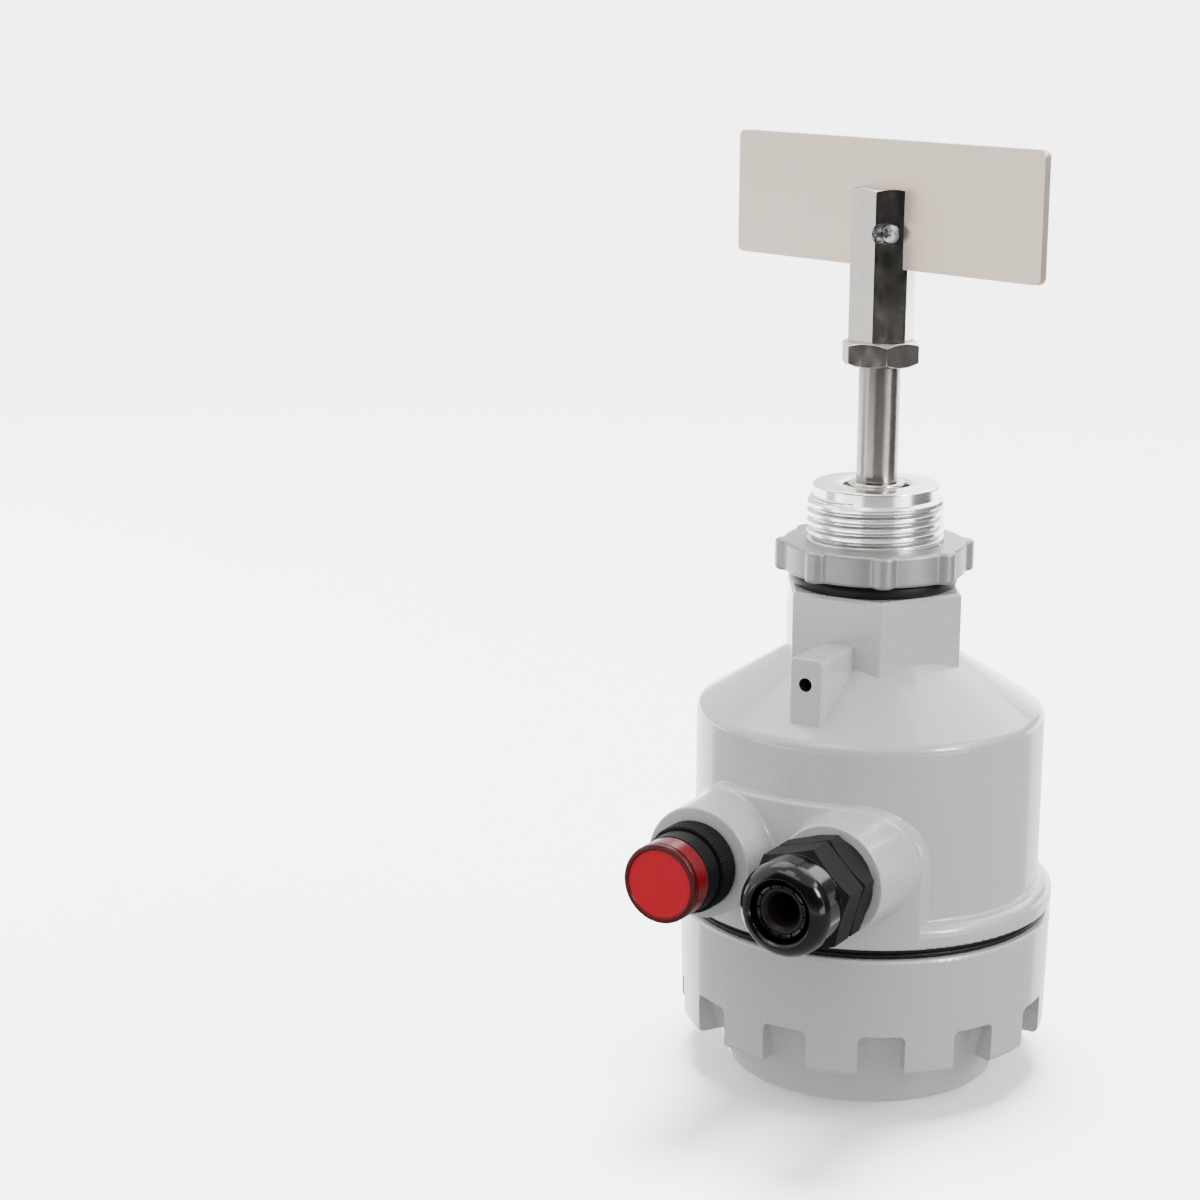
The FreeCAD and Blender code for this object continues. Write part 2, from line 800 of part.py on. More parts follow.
def slinger_ring():
    """Bright collar on the shaft that covers the seal."""
    low = spigot_top - slinger_sink
    high = low + slinger_height
    return turned([
        (shaft_radius, low), (slinger_radius, low),
        (slinger_radius, high, shaft_edge), (shaft_radius, high)])


def jam_nut():
    """Thin hexagon nut that locks the blade holder on the shaft."""
    nut = chamfered_hexagon(jam_nut_flats, jam_nut_low, holder_low, jam_nut_turn)
    return nut.cut(cylinder(shaft_radius, jam_nut_low - 1, holder_low + 1))


def blade_screw_axis():
    """Centre and direction of the screw through the holder and the blade."""
    along = V(*polar(1.0, paddle_turn), 0)
    across = V(*polar(1.0, paddle_turn - 90), 0)
    centre = along * blade_screw_offset + V(0, 0, holder_top - blade_screw_height)
    return centre, across


def blade_holder():
    """Hexagon bar, bored for the shaft and slotted across two corners for the blade."""
    bar = chamfered_hexagon(holder_flats, holder_low, holder_top, paddle_turn, both=False)
    bar = bar.cut(cylinder(shaft_radius, holder_low - 1, holder_low + holder_thread_depth))
    half = blade_thickness / 2
    slot = box(-holder_flats, holder_flats, -half, half, blade_low, holder_top + 1)
    bar = bar.cut(spun(slot, paddle_turn))
    centre, across = blade_screw_axis()
    hole = Part.makeCylinder(blade_screw_radius, 2 * holder_flats, centre - across * holder_flats, across)
    sink_start = centre + across * (half + blade_screw_seat)
    sink = Part.makeCylinder(blade_screw_head_radius, holder_flats, sink_start, across)
    return bar.cut(hole).cut(sink)


def paddle_blade():
    """Flat stainless blade with clipped corners and one screw hole."""
    half = blade_width / 2
    high = blade_low + blade_height
    clip = blade_corner
    points = [
        (-half, blade_low, clip), (half, blade_low, clip), (half, high, clip), (-half, high, clip)]
    plate = extruded(points, -blade_thickness / 2, blade_thickness / 2)
    plate = spun(plate, paddle_turn)
    centre, across = blade_screw_axis()
    hole = Part.makeCylinder(blade_screw_radius, 2 * holder_flats, centre - across * holder_flats, across)
    return plate.cut(hole)


def blade_screw():
    """Cross-recessed screw that holds the blade in the slot."""
    centre, across = blade_screw_axis()
    half = blade_thickness / 2
    head_low = half + blade_screw_seat
    corner = holder_flats / 2 / math.cos(math.radians(30))
    end = (corner - blade_screw_offset) * math.tan(math.radians(60)) - blade_screw_end
    shank = Part.makeCylinder(blade_screw_radius, end + head_low, centre - across * end, across)
    seat = centre + across * head_low
    head = Part.makeCylinder(blade_screw_head_radius, blade_screw_head_height, seat, across)
    return shank.fuse(head)


def shaft_coupling():
    """Sleeve that joins the gear motor's shaft to the paddle shaft."""
    sleeve = turned([
        (0, coupling_low), (coupling_radius, coupling_low, shaft_edge),
        (coupling_radius, coupling_top, shaft_edge), (0, coupling_top)])
    sleeve = sleeve.cut(cylinder(shaft_radius, shaft_low, coupling_top + 1))
    sleeve = sleeve.cut(cylinder(motor_shaft_radius, coupling_low - 1, shaft_low + running_fit))
    for height, _ in grub_places():
        hole = Part.makeCylinder(grub_screw_radius, coupling_radius + 1, V(0, 0, height), V(1, 0, 0))
        sleeve = sleeve.cut(hole)
    return sleeve


def grub_places():
    """Height and inner end of each of the coupling's two grub screws."""
    quarter = coupling_length / 4
    return ((coupling_low + quarter, motor_shaft_radius), (coupling_top - quarter, shaft_radius))


def grub_screws():
    """Two socket grub screws in the coupling."""
    screws = []
    for height, start in grub_places():
        length = coupling_radius - start - grub_screw_sink
        screws.append(Part.makeCylinder(grub_screw_radius, length, V(start, 0, height), V(1, 0, 0)))
    return Part.makeCompound(screws)


def motor_shaft():
    """Output shaft of the gear motor, with its flat."""
    return cylinder(motor_shaft_radius, gearbox_low + motor_shaft_seat, shaft_low)


def chassis_plate():
    """Round steel plate under the housing's ceiling, with two folded switch brackets."""
    plate = cylinder(chassis_radius, chassis_low, chassis_top)
    plate = fused([plate] + [switch_bracket(turn) for turn in arm_turns])
    plate = plate.cut(cylinder(pivot_radius, chassis_low - 1, chassis_top + 1))
    for turn in thirds(chassis_screw_turn):
        x, y = polar(chassis_screw_circle, turn)
        plate = plate.cut(cylinder(small_screw_radius, chassis_low - 1, chassis_top + 1, x, y))
    for turn in arm_turns:
        for hole in switch_screw_shanks():
            plate = plate.cut(at_switch(hole, turn))
    return plate


def switch_lead():
    """Angle from an arm at rest to the middle of the switch that it pushes."""
    return math.degrees(math.asin(pusher_rest() / pusher_circle))


def pusher_rest():
    """Distance along the arm's travel from a resting pusher to the middle of its switch."""
    lean = math.radians(lever_rest_angle)
    tip = lever_length * math.sin(lean) + lever_thickness * math.cos(lean)
    return lever_reach() + tip + sliding_gap + pusher_radius


def lever_reach():
    """Distance from the middle of a switch to the hinge line of its lever."""
    return switch_depth / 2 + lever_barrel_radius + thread_fit


def at_switch(shape, turn):
    """Moves a shape drawn with +X outwards and the pusher on the -Y side to a switch."""
    return spun(shape, turn + switch_lead())


def switch_bracket(turn):
    """Tongue of the chassis plate, folded down to carry one micro switch."""
    inner = switch_circle + switch_width / 2
    outer = inner + bracket_thickness
    half = switch_depth / 2
    low = chassis_low - switch_drop - switch_length
    tongue = box(chassis_radius - bracket_root, outer, -half, half, chassis_low, chassis_top)
    tab = box(inner, outer, -half, half, low, chassis_low)
    return at_switch(tongue.fuse(tab), turn)


def switch_body(turn):
    """Micro switch case, with two ears and a pin that its lever hinges on."""
    inner = switch_circle - switch_width / 2
    outer = switch_circle + switch_width / 2
    half = switch_depth / 2
    high = chassis_low - switch_drop
    case = box(inner, outer, -half, half, high - switch_length, high)
    case = case.makeFillet(switch_edge_round, [e for e in case.Edges if abs(e.tangentAt(0).x) > 0.9])
    reach = lever_reach()
    height = high - switch_length + lever_pivot_rise
    lever_half = lever_width / 2 + running_fit
    size = lever_ear_size
    ears = box(
        inner + lever_ear_inset, outer - lever_ear_inset,
        -reach - size, -half + size, height - size, height + size)
    ears = ears.cut(box(
        switch_circle - lever_half, switch_circle + lever_half, -reach - 2 * size, -half, height - 2 * size,
        height + 2 * size))
    start = V(inner + 2 * lever_ear_inset, -reach, height)
    pin = Part.makeCylinder(lever_pin_radius, switch_width - 4 * lever_ear_inset, start, V(1, 0, 0))
    case = fused([case, ears, pin])
    for shank in switch_screw_shanks():
        case = case.cut(shank)
    return at_switch(case, turn)


def switch_screw_shanks():
    """The two screw shanks through a switch and its bracket, before they are turned to a switch."""
    inner = switch_circle - switch_width / 2
    high = chassis_low - switch_drop
    length = switch_width + bracket_thickness
    shanks = []
    for offset in (switch_screw_inset, switch_length - switch_screw_inset):
        start = V(inner, switch_screw_offset, high - offset)
        shanks.append(Part.makeCylinder(switch_screw_radius, length, start, V(1, 0, 0)))
    return shanks


def switch_screws():
    """Four small screws that hold the two switches."""
    inner = switch_circle - switch_width / 2
    high = chassis_low - switch_drop
    screws = []
    offsets = (switch_screw_inset, switch_length - switch_screw_inset)
    for shank, offset in zip(switch_screw_shanks(), offsets):
        start = V(inner - switch_screw_head_height, switch_screw_offset, high - offset)
        head = Part.makeCylinder(switch_screw_head_radius, switch_screw_head_height, start, V(1, 0, 0))
        screws.append(head.fuse(shank))
    return Part.makeCompound([at_switch(screw, turn) for turn in arm_turns for screw in screws])


def switch_lever(turn):
    """Sheet lever hinged at the switch's lower end and leaning out to the pusher."""
    half = lever_width / 2
    height = chassis_low - switch_drop - switch_length + lever_pivot_rise
    blade = box(
        switch_circle - half, switch_circle + half, -lever_thickness, 0, lever_pin_radius + running_fit,
        lever_length)
    start = V(switch_circle - half, 0, 0)
    barrel = Part.makeCylinder(lever_barrel_radius, lever_width, start, V(1, 0, 0))
    bore = Part.makeCylinder(lever_pin_radius + running_fit, lever_width, start, V(1, 0, 0))
    lever = blade.fuse(barrel).cut(bore)
    lever.rotate(V(0, 0, 0), V(1, 0, 0), lever_rest_angle)
    lever.translate(V(0, -lever_reach(), height))
    return at_switch(lever, turn)


def chassis_screws():
    """Three screws that fix the chassis plate to the casting."""
    screws = []
    for turn in thirds(chassis_screw_turn):
        x, y = polar(chassis_screw_circle, turn)
        screws.append(pan_screw(
            small_screw_radius, chassis_screw_length, small_screw_head_radius, small_screw_head_height, x, y,
            chassis_low - small_screw_head_height))
    return Part.makeCompound(screws)


def pivot_bush():
    """Flanged bronze bush, pressed into the chassis plate, that the drive swings on."""
    groove_low = swing_low - clip_thickness
    root = pivot_radius - groove_depth
    flange_high = chassis_top + pivot_flange_height
    return turned([
        (pivot_bore_radius, pivot_low), (pivot_radius, pivot_low, pivot_edge), (pivot_radius, groove_low),
        (root, groove_low), (root, swing_low), (pivot_radius, swing_low), (pivot_radius, chassis_top),
        (pivot_flange_radius, chassis_top), (pivot_flange_radius, flange_high, pivot_edge),
        (pivot_bore_radius, flange_high, pivot_edge)])


def pivot_clip():
    """Retaining ring that keeps the swing plate on its bush."""
    low = swing_low - clip_thickness
    outer = pivot_radius + clip_width
    ring = tube(outer, pivot_radius - groove_depth, low, swing_low)
    return ring.cut(box(0, outer + 1, -clip_gap / 2, clip_gap / 2, low - 1, swing_low + 1))


def return_spring():
    """Flat spiral spring round the bush, with its outer end against a post of the swing plate."""
    inner = spiral_edges(pivot_radius + sliding_gap)
    outer = spiral_edges(pivot_radius + sliding_gap + spring_strip)
    path = inner + [end_line(inner[-1].lastVertex(), outer[-1].lastVertex())]
    path += outer[::-1] + [end_line(outer[0].firstVertex(), inner[0].firstVertex())]
    strip = Part.Face(Part.Wire(path)).extrude(V(0, 0, spring_height))
    strip.translate(V(0, 0, swing_top))
    return strip


def end_line(start, end):
    """Straight edge between two corners."""
    return Part.LineSegment(start.Point, end.Point).toShape()


def spiral_edges(start_radius):
    """Half circles from +X that widen by half the spring's lead at every half turn."""
    edges = []
    x = start_radius
    for index in range(spring_half_turns):
        side = 1 if index % 2 == 0 else -1
        radius = abs(x) + spring_lead / 4
        centre = x - side * radius
        end = centre - side * radius
        edges.append(Part.Arc(V(x, 0, 0), V(centre, side * radius, 0), V(end, 0, 0)).toShape())
        x = end
    return edges


def spring_post():
    """Small block on the swing plate that takes the push of the spring's outer end."""
    tip = spiral_edges(pivot_radius + sliding_gap + spring_strip)[-1].lastVertex().X
    low = tip - spring_post_margin
    high = tip + spring_strip + spring_post_margin
    return box(low, high, -spring_post_depth, 0, swing_low, swing_top + spring_height)


def swing_plate():
    """Plate that carries the gear motor, with two arms for the switches."""
    plate = cylinder(swing_plate_radius, swing_low, swing_top)
    half = arm_width / 2
    arm = box(pivot_radius, arm_end_radius - half, -half, half, swing_low, swing_top)
    tip = cylinder(half, swing_low, swing_top, arm_end_radius - half, 0)
    arms = [spun(arm.fuse(tip), turn) for turn in arm_turns]
    plate = fused([plate] + arms + [spring_post()])
    plate = plate.cut(cylinder(pivot_radius + running_fit, swing_low - 1, swing_top + 1))
    for x, y in motor_post_places():
        plate = plate.cut(cylinder(motor_rivet_radius, swing_low - 1, swing_top + 1, x, y))
    return plate


def motor_post_places():
    """Centres of the posts between the gearbox and the swing plate."""
    return [polar(motor_post_circle, turn) for turn in thirds(motor_post_turn)]


def motor_posts():
    """Three shouldered posts riveted between the gearbox and the swing plate."""
    posts = []
    for x, y in motor_post_places():
        post = cylinder(motor_post_radius, gearbox_top, swing_low, x, y)
        posts.append(post.fuse(cylinder(motor_rivet_radius, swing_low, swing_top, x, y)))
    return Part.makeCompound(posts)


def pusher_pins():
    """Two pins on the arms' ends that push the switch levers."""
    pin = turned([
        (0, swing_low - pusher_length), (pusher_radius, swing_low - pusher_length, pusher_edge),
        (pusher_radius, swing_low), (0, swing_low)])
    pin.translate(V(pusher_circle, 0, 0))
    return ring_of(pin, arm_turns)


def stop_pins():
    """Two pins under the chassis plate that limit the drive's swing."""
    circle = swing_plate_radius + stop_offset
    side = math.degrees(math.asin((arm_width / 2 + stop_radius + stop_clearance) / circle))
    pin = cylinder(stop_radius, swing_low, chassis_low, circle, 0)
    turn = arm_turns[0]
    return ring_of(pin, [turn - side, turn + side + swing_angle])


def gearbox():
    """Gear housing of the motor with a hole for its output shaft."""
    body = turned([
        (0, gearbox_low), (gearbox_radius, gearbox_low), (gearbox_radius, gearbox_top, gearbox_edge),
        (0, gearbox_top)])
    hole_low = gearbox_low + motor_shaft_seat - running_fit
    hole = cylinder(motor_shaft_radius + running_fit, hole_low, gearbox_top + 1)
    return body.cut(hole)


def motor_can():
    """Drawn steel can of the synchronous motor."""
    return turned([
        (0, motor_low - motor_hub_height), (motor_hub_radius, motor_low - motor_hub_height, shaft_edge),
        (motor_hub_radius, motor_low), (motor_radius, motor_low, motor_edge), (motor_radius, gearbox_low),
        (0, gearbox_low)])


def board_pillars():
    """Three hexagon spacers from the chassis plate down to the terminal board."""
    pillar = hexagon(pillar_flats, board_top, chassis_low)
    pillar.translate(V(pillar_circle, 0, 0))
    return ring_of(pillar, thirds(pillar_turn))


def terminal_board():
    """Round board that closes off the drive and carries the terminals."""
    board = cylinder(chassis_radius, board_low, board_top)
    for turn in thirds(pillar_turn):
        x, y = polar(pillar_circle, turn)
        board = board.cut(cylinder(small_screw_radius, board_low - 1, board_top + 1, x, y))
    x, y = polar(earth_circle, earth_turn)
    board = board.cut(cylinder(earth_hole_radius, board_low - 1, board_top + 1, x, y))
    wire_way = hexagon(wire_way_flats, board_low - 1, board_top + 1)
    wire_way.translate(V(0, -wire_way_offset, 0))
    return board.cut(wire_way)


def board_screws():
    """Three screws that hold the terminal board on its pillars."""
    radius = board_screw_head_radius
    low = board_low - board_screw_head_height
    head = turned([
        (0, low), (radius, low, board_screw_head_height / 2), (radius, board_low), (0, board_low)])
    head.translate(V(pillar_circle, 0, 0))
    shank = cylinder(small_screw_radius, board_low, board_top, pillar_circle, 0)
    return ring_of(head.fuse(shank), thirds(pillar_turn))


def terminal_block():
    """Six-way terminal block under the board."""
    half = terminal_count * terminal_pitch / 2
    low = board_low - terminal_height
    depth = terminal_depth / 2
    face = depth - terminal_step
    base = board_low - terminal_base_height
    slope = base - terminal_step * math.tan(math.radians(35))
    block = extruded([
        (-depth, board_low), (-depth, base), (-face, slope), (-face, low, terminal_edge),
        (face, low, terminal_edge), (face, slope), (depth, base), (depth, board_low)], -half, half)
    block.rotate(V(0, 0, 0), V(0, 0, 1), 90)
    wire = wire_hole_width / 2
    hole_low = board_low - wire_hole_low
    hole_high = board_low - wire_hole_high
    for x in terminal_places():
        well = terminal_screw_radius + sliding_gap
        block = block.cut(cylinder(well, low - 1, low + terminal_well_depth, x, 0))
        for near, far in ((-depth - 1, wire_hole_depth - depth), (depth - wire_hole_depth, depth + 1)):
            block = block.cut(box(x - wire, x + wire, near, far, hole_low, hole_high))
    block.translate(V(0, terminal_offset, 0))
    return block


def terminal_places():
    """Distance of each terminal from the block's middle."""
    first = -(terminal_count - 1) * terminal_pitch / 2
    return [first + terminal_pitch * index for index in range(terminal_count)]


def terminal_screws():
    """Six slotted screws in the wells of the terminal block."""
    low = board_low - terminal_height
    screws = []
    for x in terminal_places():
        screw = cylinder(terminal_screw_radius, low + terminal_screw_sink, low + terminal_well_depth, x, 0)
        reach = 2 * terminal_screw_radius
        half = terminal_slot / 2
        slot = box(x - reach, x + reach, -half, half, low, low + terminal_screw_sink + terminal_slot)
        screws.append(screw.cut(slot))
    group = Part.makeCompound(screws)
    group.translate(V(0, terminal_offset, 0))
    return group


def earth_screw():
    """Earthing screw in the boss on the housing's wall."""
    x, y = polar(earth_circle, earth_turn)
    low = board_top + earth_boss_rise - earth_screw_head_height
    return pan_screw(
        earth_screw_radius, earth_screw_length, earth_screw_head_radius, earth_screw_head_height, x, y, low)


def gland_washer():
    """Sealing washer between the gland and its boss."""
    ring = tube(gland_flats / 2 - seal_fit, entry_thread_radius, 0, gland_washer_thickness)
    ring.translate(V(0, 0, gland_boss_reach))
    return into_entry(ring, gland_x)


def gland_body():
    """Gland body: threaded stub, hexagon collar and the threaded seat for the dome nut."""
    base = gland_collar_base
    top = gland_collar_top
    neck_top_end = top + gland_nut_hex_length
    collar = chamfered_hexagon(gland_flats, base, top, gland_turn)
    stub = cylinder(entry_thread_radius, gland_boss_reach - gland_stub_length, base + 1)
    neck = cylinder(gland_seat_radius, top - 1, neck_top_end)
    body = fused([collar, stub, neck])
    body = body.cut(cylinder(gland_bore_radius, cavity_radius / 2, neck_top_end + 1))
    cage_low = top - gland_seal_sink - thread_fit
    body = body.cut(cylinder(gland_cage_radius, cage_low, neck_top_end + 1))
    return into_entry(body, gland_x)


def gland_nut():
    """Dome nut: hexagon at the back, rounded dome at the front."""
    low = gland_collar_top + thread_fit
    middle = low + gland_nut_hex_length
    high = middle + gland_dome_length
    hex_part = chamfered_hexagon(gland_flats, low, middle, gland_turn, both=False)
    root = middle - gland_dome_length / 3
    mouth = gland_mouth_radius + gland_mouth_bevel
    dome = turned([
        (0, root), (gland_dome_radius, root), (gland_dome_radius, high - gland_nose, gland_dome_round),
        (mouth, high), (0, high)])
    nut = hex_part.fuse(dome)
    thread = gland_seat_radius + thread_fit
    thread_end = middle + 1
    bore = turned([
        (0, low - 1), (thread, low - 1), (thread, thread_end), (gland_mouth_radius, thread_end + 2),
        (gland_mouth_radius, high - gland_mouth_bevel), (mouth, high), (mouth, high + 1), (0, high + 1)])
    return into_entry(nut.cut(bore), gland_x)


def gland_seal():
    """Rubber seal with the clamping fingers round it, bored for the cable."""
    low = gland_collar_top - gland_seal_sink
    high = gland_collar_top + gland_nut_hex_length + gland_dome_length - gland_seal_drop
    outer = gland_cage_radius - running_fit
    bevel = gland_finger_bevel
    ring = turned([
        (cable_radius, low), (outer, low), (outer, high - bevel), (outer - bevel, high),
        (cable_radius + bevel, high), (cable_radius, high - bevel)])
    return into_entry(ring, gland_x)


def lamp_washer():
    """Rubber washer between the lamp and its boss."""
    ring = tube(lamp_ring_radius - lamp_ring_edge, lamp_body_radius + thread_fit, 0, lamp_washer_thickness)
    ring.translate(V(0, 0, lamp_boss_reach))
    return into_entry(ring, lamp_x)


def lamp_body():
    """Threaded lamp body through the boss, with its front collar."""
    step = lamp_base + lamp_ring_length
    well = lamp_collar_radius - lamp_collar_wall
    body = turned([
        (0, lamp_back), (lamp_body_radius, lamp_back, lamp_edge), (lamp_body_radius, step),
        (lamp_collar_radius, step, lamp_edge), (lamp_collar_radius, lamp_front, lamp_edge),
        (well, lamp_front), (well, lamp_front - lamp_well_depth), (0, lamp_front - lamp_well_depth)])
    return into_entry(body, lamp_x)


def lamp_ring():
    """Knurled front ring that is turned to clamp the lamp."""
    end = lamp_base + lamp_ring_length - lamp_ring_gap
    ring = turned([
        (lamp_body_radius, lamp_base), (lamp_ring_radius, lamp_base, lamp_edge),
        (lamp_ring_radius, end, lamp_ring_edge), (lamp_body_radius, end)])
    return into_entry(ring, lamp_x)


def lamp_lens():
    """Red lens cap, hollow behind, with a flat front face inside a low rim."""
    high = lamp_front + lamp_lens_length
    inner = lamp_lens_radius - lamp_lens_wall
    face = high - lamp_lens_dish
    cap = turned([
        (0, lamp_front), (lamp_lens_radius, lamp_front), (lamp_lens_radius, high, lamp_ring_edge),
        (inner + lamp_edge, high, lamp_edge), (inner, face), (0, face)])
    hollow = cylinder(inner, lamp_front - 1, face - lamp_lens_wall)
    return into_entry(cap.cut(hollow), lamp_x)


def lamp_led():
    """Light emitting diode on the lamp body's floor."""
    low = lamp_front - lamp_well_depth
    high = low + lamp_led_height
    led = turned([
        (0, low), (lamp_led_radius, low), (lamp_led_radius, high, lamp_led_radius - lamp_led_tip), (0, high)])
    return into_entry(led, lamp_x)


def lamp_nut():
    """Plastic nut that pulls the lamp body against its boss from inside."""
    high = lamp_seat()
    nut = chamfered_hexagon(lamp_nut_flats, high - lamp_nut_height, high)
    bore = cylinder(lamp_body_radius, high - 2 * lamp_nut_height, high + 1)
    return into_entry(nut.cut(bore), lamp_x)


def lamp_pins():
    """Two solder tags at the back of the lamp body."""
    tags = []
    for x in (-lamp_pin_spacing / 2, lamp_pin_spacing / 2):
        half = lamp_pin_width / 2
        edge = lamp_pin_thickness / 2
        tags.append(box(x - half, x + half, -edge, edge, lamp_back - lamp_pin_length, lamp_back))
    return into_entry(Part.makeCompound(tags), lamp_x)


PIECES = {
    "cover": cover,
    "cover_seal": cover_seal,
    "housing": housing,
    "threaded_spigot": threaded_spigot,
    "neck_gasket": neck_gasket,
    "lock_nut": lock_nut,
    "shaft_seal": shaft_seal,
    "upper_bush": upper_bush,
    "lower_bearing": lower_bearing,
    "drive_shaft": drive_shaft,
    "retaining_ring": retaining_ring,
    "slinger_ring": slinger_ring,
    "jam_nut": jam_nut,
    "blade_holder": blade_holder,
    "paddle_blade": paddle_blade,
    "blade_screw": blade_screw,
    "shaft_coupling": shaft_coupling,
    "grub_screws": grub_screws,
    "motor_shaft": motor_shaft,
    "chassis_plate": chassis_plate,
    "chassis_screws": chassis_screws,
    "pivot_bush": pivot_bush,
    "pivot_clip": pivot_clip,
    "return_spring": return_spring,
    "swing_plate": swing_plate,
    "motor_posts": motor_posts,
    "pusher_pins": pusher_pins,
    "stop_pins": stop_pins,
    "gearbox": gearbox,
    "motor_can": motor_can,
    "signal_switch": lambda: switch_body(arm_turns[0]),
    "cutoff_switch": lambda: switch_body(arm_turns[1]),
    "signal_lever": lambda: switch_lever(arm_turns[0]),
    "cutoff_lever": lambda: switch_lever(arm_turns[1]),
    "switch_screws": switch_screws,
    "board_pillars": board_pillars,
    "terminal_board": terminal_board,
    "board_screws": board_screws,
    "terminal_block": terminal_block,
    "terminal_screws": terminal_screws,
    "earth_screw": earth_screw,
    "gland_washer": gland_washer,
    "gland_body": gland_body,
    "gland_nut": gland_nut,
    "gland_seal": gland_seal,
    "lamp_washer": lamp_washer,
    "lamp_body": lamp_body,
    "lamp_ring": lamp_ring,
    "lamp_lens": lamp_lens,
    "lamp_led": lamp_led,
    "lamp_nut": lamp_nut,
    "lamp_pins": lamp_pins,
}


def main():
    """Builds every piece and writes it to its own file."""
    os.makedirs("parts", exist_ok=True)
    for name, make in PIECES.items():
        shape = make()
        shape.exportStep("parts/" + name + ".step")
        print(name, len(shape.Solids), round(shape.Volume, 1), shape.isValid())


if __name__ == "__main__":
    main()
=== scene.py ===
"""Looks of the rotary paddle level switch, dressed over its fixed frame.

Every length is in metres, in the frame's own axes: +Z runs up the paddle shaft, and the lamp and
the cable gland point to -Y. Places come from the frame, so a piece sits where the solid sits.
"""
import json
import logging
import math
from dataclasses import dataclass
from enum import Enum
from typing import Iterable, Optional, Sequence

import bmesh
import bpy
from mathutils import Matrix, Vector

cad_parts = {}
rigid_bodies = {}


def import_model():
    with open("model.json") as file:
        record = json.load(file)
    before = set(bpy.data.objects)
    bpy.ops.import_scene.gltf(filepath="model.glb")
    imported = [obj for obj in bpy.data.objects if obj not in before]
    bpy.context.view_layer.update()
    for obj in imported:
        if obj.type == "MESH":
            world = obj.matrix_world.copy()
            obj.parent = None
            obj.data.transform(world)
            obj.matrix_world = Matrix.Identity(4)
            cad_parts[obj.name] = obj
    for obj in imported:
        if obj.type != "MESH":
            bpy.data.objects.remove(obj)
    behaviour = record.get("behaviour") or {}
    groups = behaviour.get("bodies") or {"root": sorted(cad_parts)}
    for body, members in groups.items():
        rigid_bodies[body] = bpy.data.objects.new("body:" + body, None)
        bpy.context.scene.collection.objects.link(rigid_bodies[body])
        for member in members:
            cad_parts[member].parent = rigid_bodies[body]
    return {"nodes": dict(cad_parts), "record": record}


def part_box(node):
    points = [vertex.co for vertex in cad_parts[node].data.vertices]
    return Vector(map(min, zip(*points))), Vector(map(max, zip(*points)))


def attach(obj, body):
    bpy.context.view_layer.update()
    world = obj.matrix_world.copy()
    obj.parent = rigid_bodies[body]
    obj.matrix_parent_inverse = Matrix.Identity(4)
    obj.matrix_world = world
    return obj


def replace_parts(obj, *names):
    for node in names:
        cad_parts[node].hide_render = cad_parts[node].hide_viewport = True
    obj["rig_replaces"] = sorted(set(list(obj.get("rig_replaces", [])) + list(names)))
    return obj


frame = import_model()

log = logging.getLogger("level_switch")

Mesh = bmesh.types.BMesh
Point = Sequence[float]
Triple = tuple[float, float, float]

MM = 0.001
TURN = 2 * math.pi
ORIGIN = (0, 0, 0)
Z_AXIS = (0, 0, 1)
# Faces round a full turn, on large pieces and on small ones.
FINE = 192
COARSE = 96
# Straight steps in a round corner.
CORNER_STEPS = 6
# Points nearer than this are one: in a piece drawn here, and in a copied solid.
SAME_POINT = 1e-7
SAME_SOLID_POINT = 1e-6
# Points nearer to a cutting plane than this lie on it.
ON_PLANE = 1e-8
# Faces that turn by less than this are parts of one flat.
FLAT_DEG = 0.4
# Edges that turn by more than this are broken, with so many faces across.
SHARP_DEG = 35.0
EDGE_FACES = 2
# Edges that turn by more than this are shown crisp: on most pieces, and on threads and knurls.
CRISP_DEG = 30.0
RIDGED_CRISP_DEG = 50.0
# How much more large faces count in a corner's shading.
NORMAL_WEIGHT = 80
# From this share of metal on, a finish keeps the shader's own index of refraction.
METAL_SHARE = 0.5
# Detail of the noise in a finish's grain and in its colour's drift.
GRAIN_DETAIL = 3.0
DRIFT_DETAIL = 4.0
# Sockets of the mix node, which share their names.
MIX_FACTOR, MIX_LEVEL_A, MIX_LEVEL_B, MIX_COLOUR_A, MIX_COLOUR_B = 0, 2, 3, 6, 7
MIX_LEVEL_OUT, MIX_COLOUR_OUT = 0, 2


class Entry(Enum):
    """The two threaded bosses on the housing, by the node that sits in each."""

    LAMP = "lamp_body"
    GLAND = "gland_body"

    def placing(self) -> Matrix:
        """Matrix that lays a piece drawn along +Z on the boss's axis, pointing to -Y."""
        low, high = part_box(self.value)
        middle = Vector(((low.x + high.x) / 2, 0, (low.z + high.z) / 2))
        return Matrix.Translation(middle) @ Matrix.Rotation(math.pi / 2, 4, "X")


def linear(colour: str) -> tuple[float, float, float, float]:
    """Turns an sRGB hex colour to linear red, green, blue and alpha, by the standard's curve.

    Args:
        colour: text such as "#B4B6B8".

    Returns:
        Four linear values, with alpha 1.
    """
    values = []
    for start in (1, 3, 5):
        level = int(colour[start:start + 2], 16) / 255
        values.append(level / 12.92 if level <= 0.04045 else ((level + 0.055) / 1.055) ** 2.4)
    return values[0], values[1], values[2], 1.0


def add_node(
    tree: bpy.types.NodeTree,
    kind: str,
    settings: Optional[dict] = None,
    values: Optional[dict] = None,
    links: Optional[dict] = None,
) -> bpy.types.Node:
    """Adds one node to a tree.

    Args:
        tree: the tree that gets the node.
        kind: the node's type name.
        settings: the node's own settings, by name.
        values: constants for its input sockets, by name or number.
        links: output sockets to join to its input sockets, by name or number.

    Returns:
        The new node.
    """
    node = tree.nodes.new(kind)
    for name, value in (settings or {}).items():
        setattr(node, name, value)
    for name, value in (values or {}).items():
        node.inputs[name].default_value = value
    for name, source in (links or {}).items():
        tree.links.new(source, node.inputs[name])
    return node


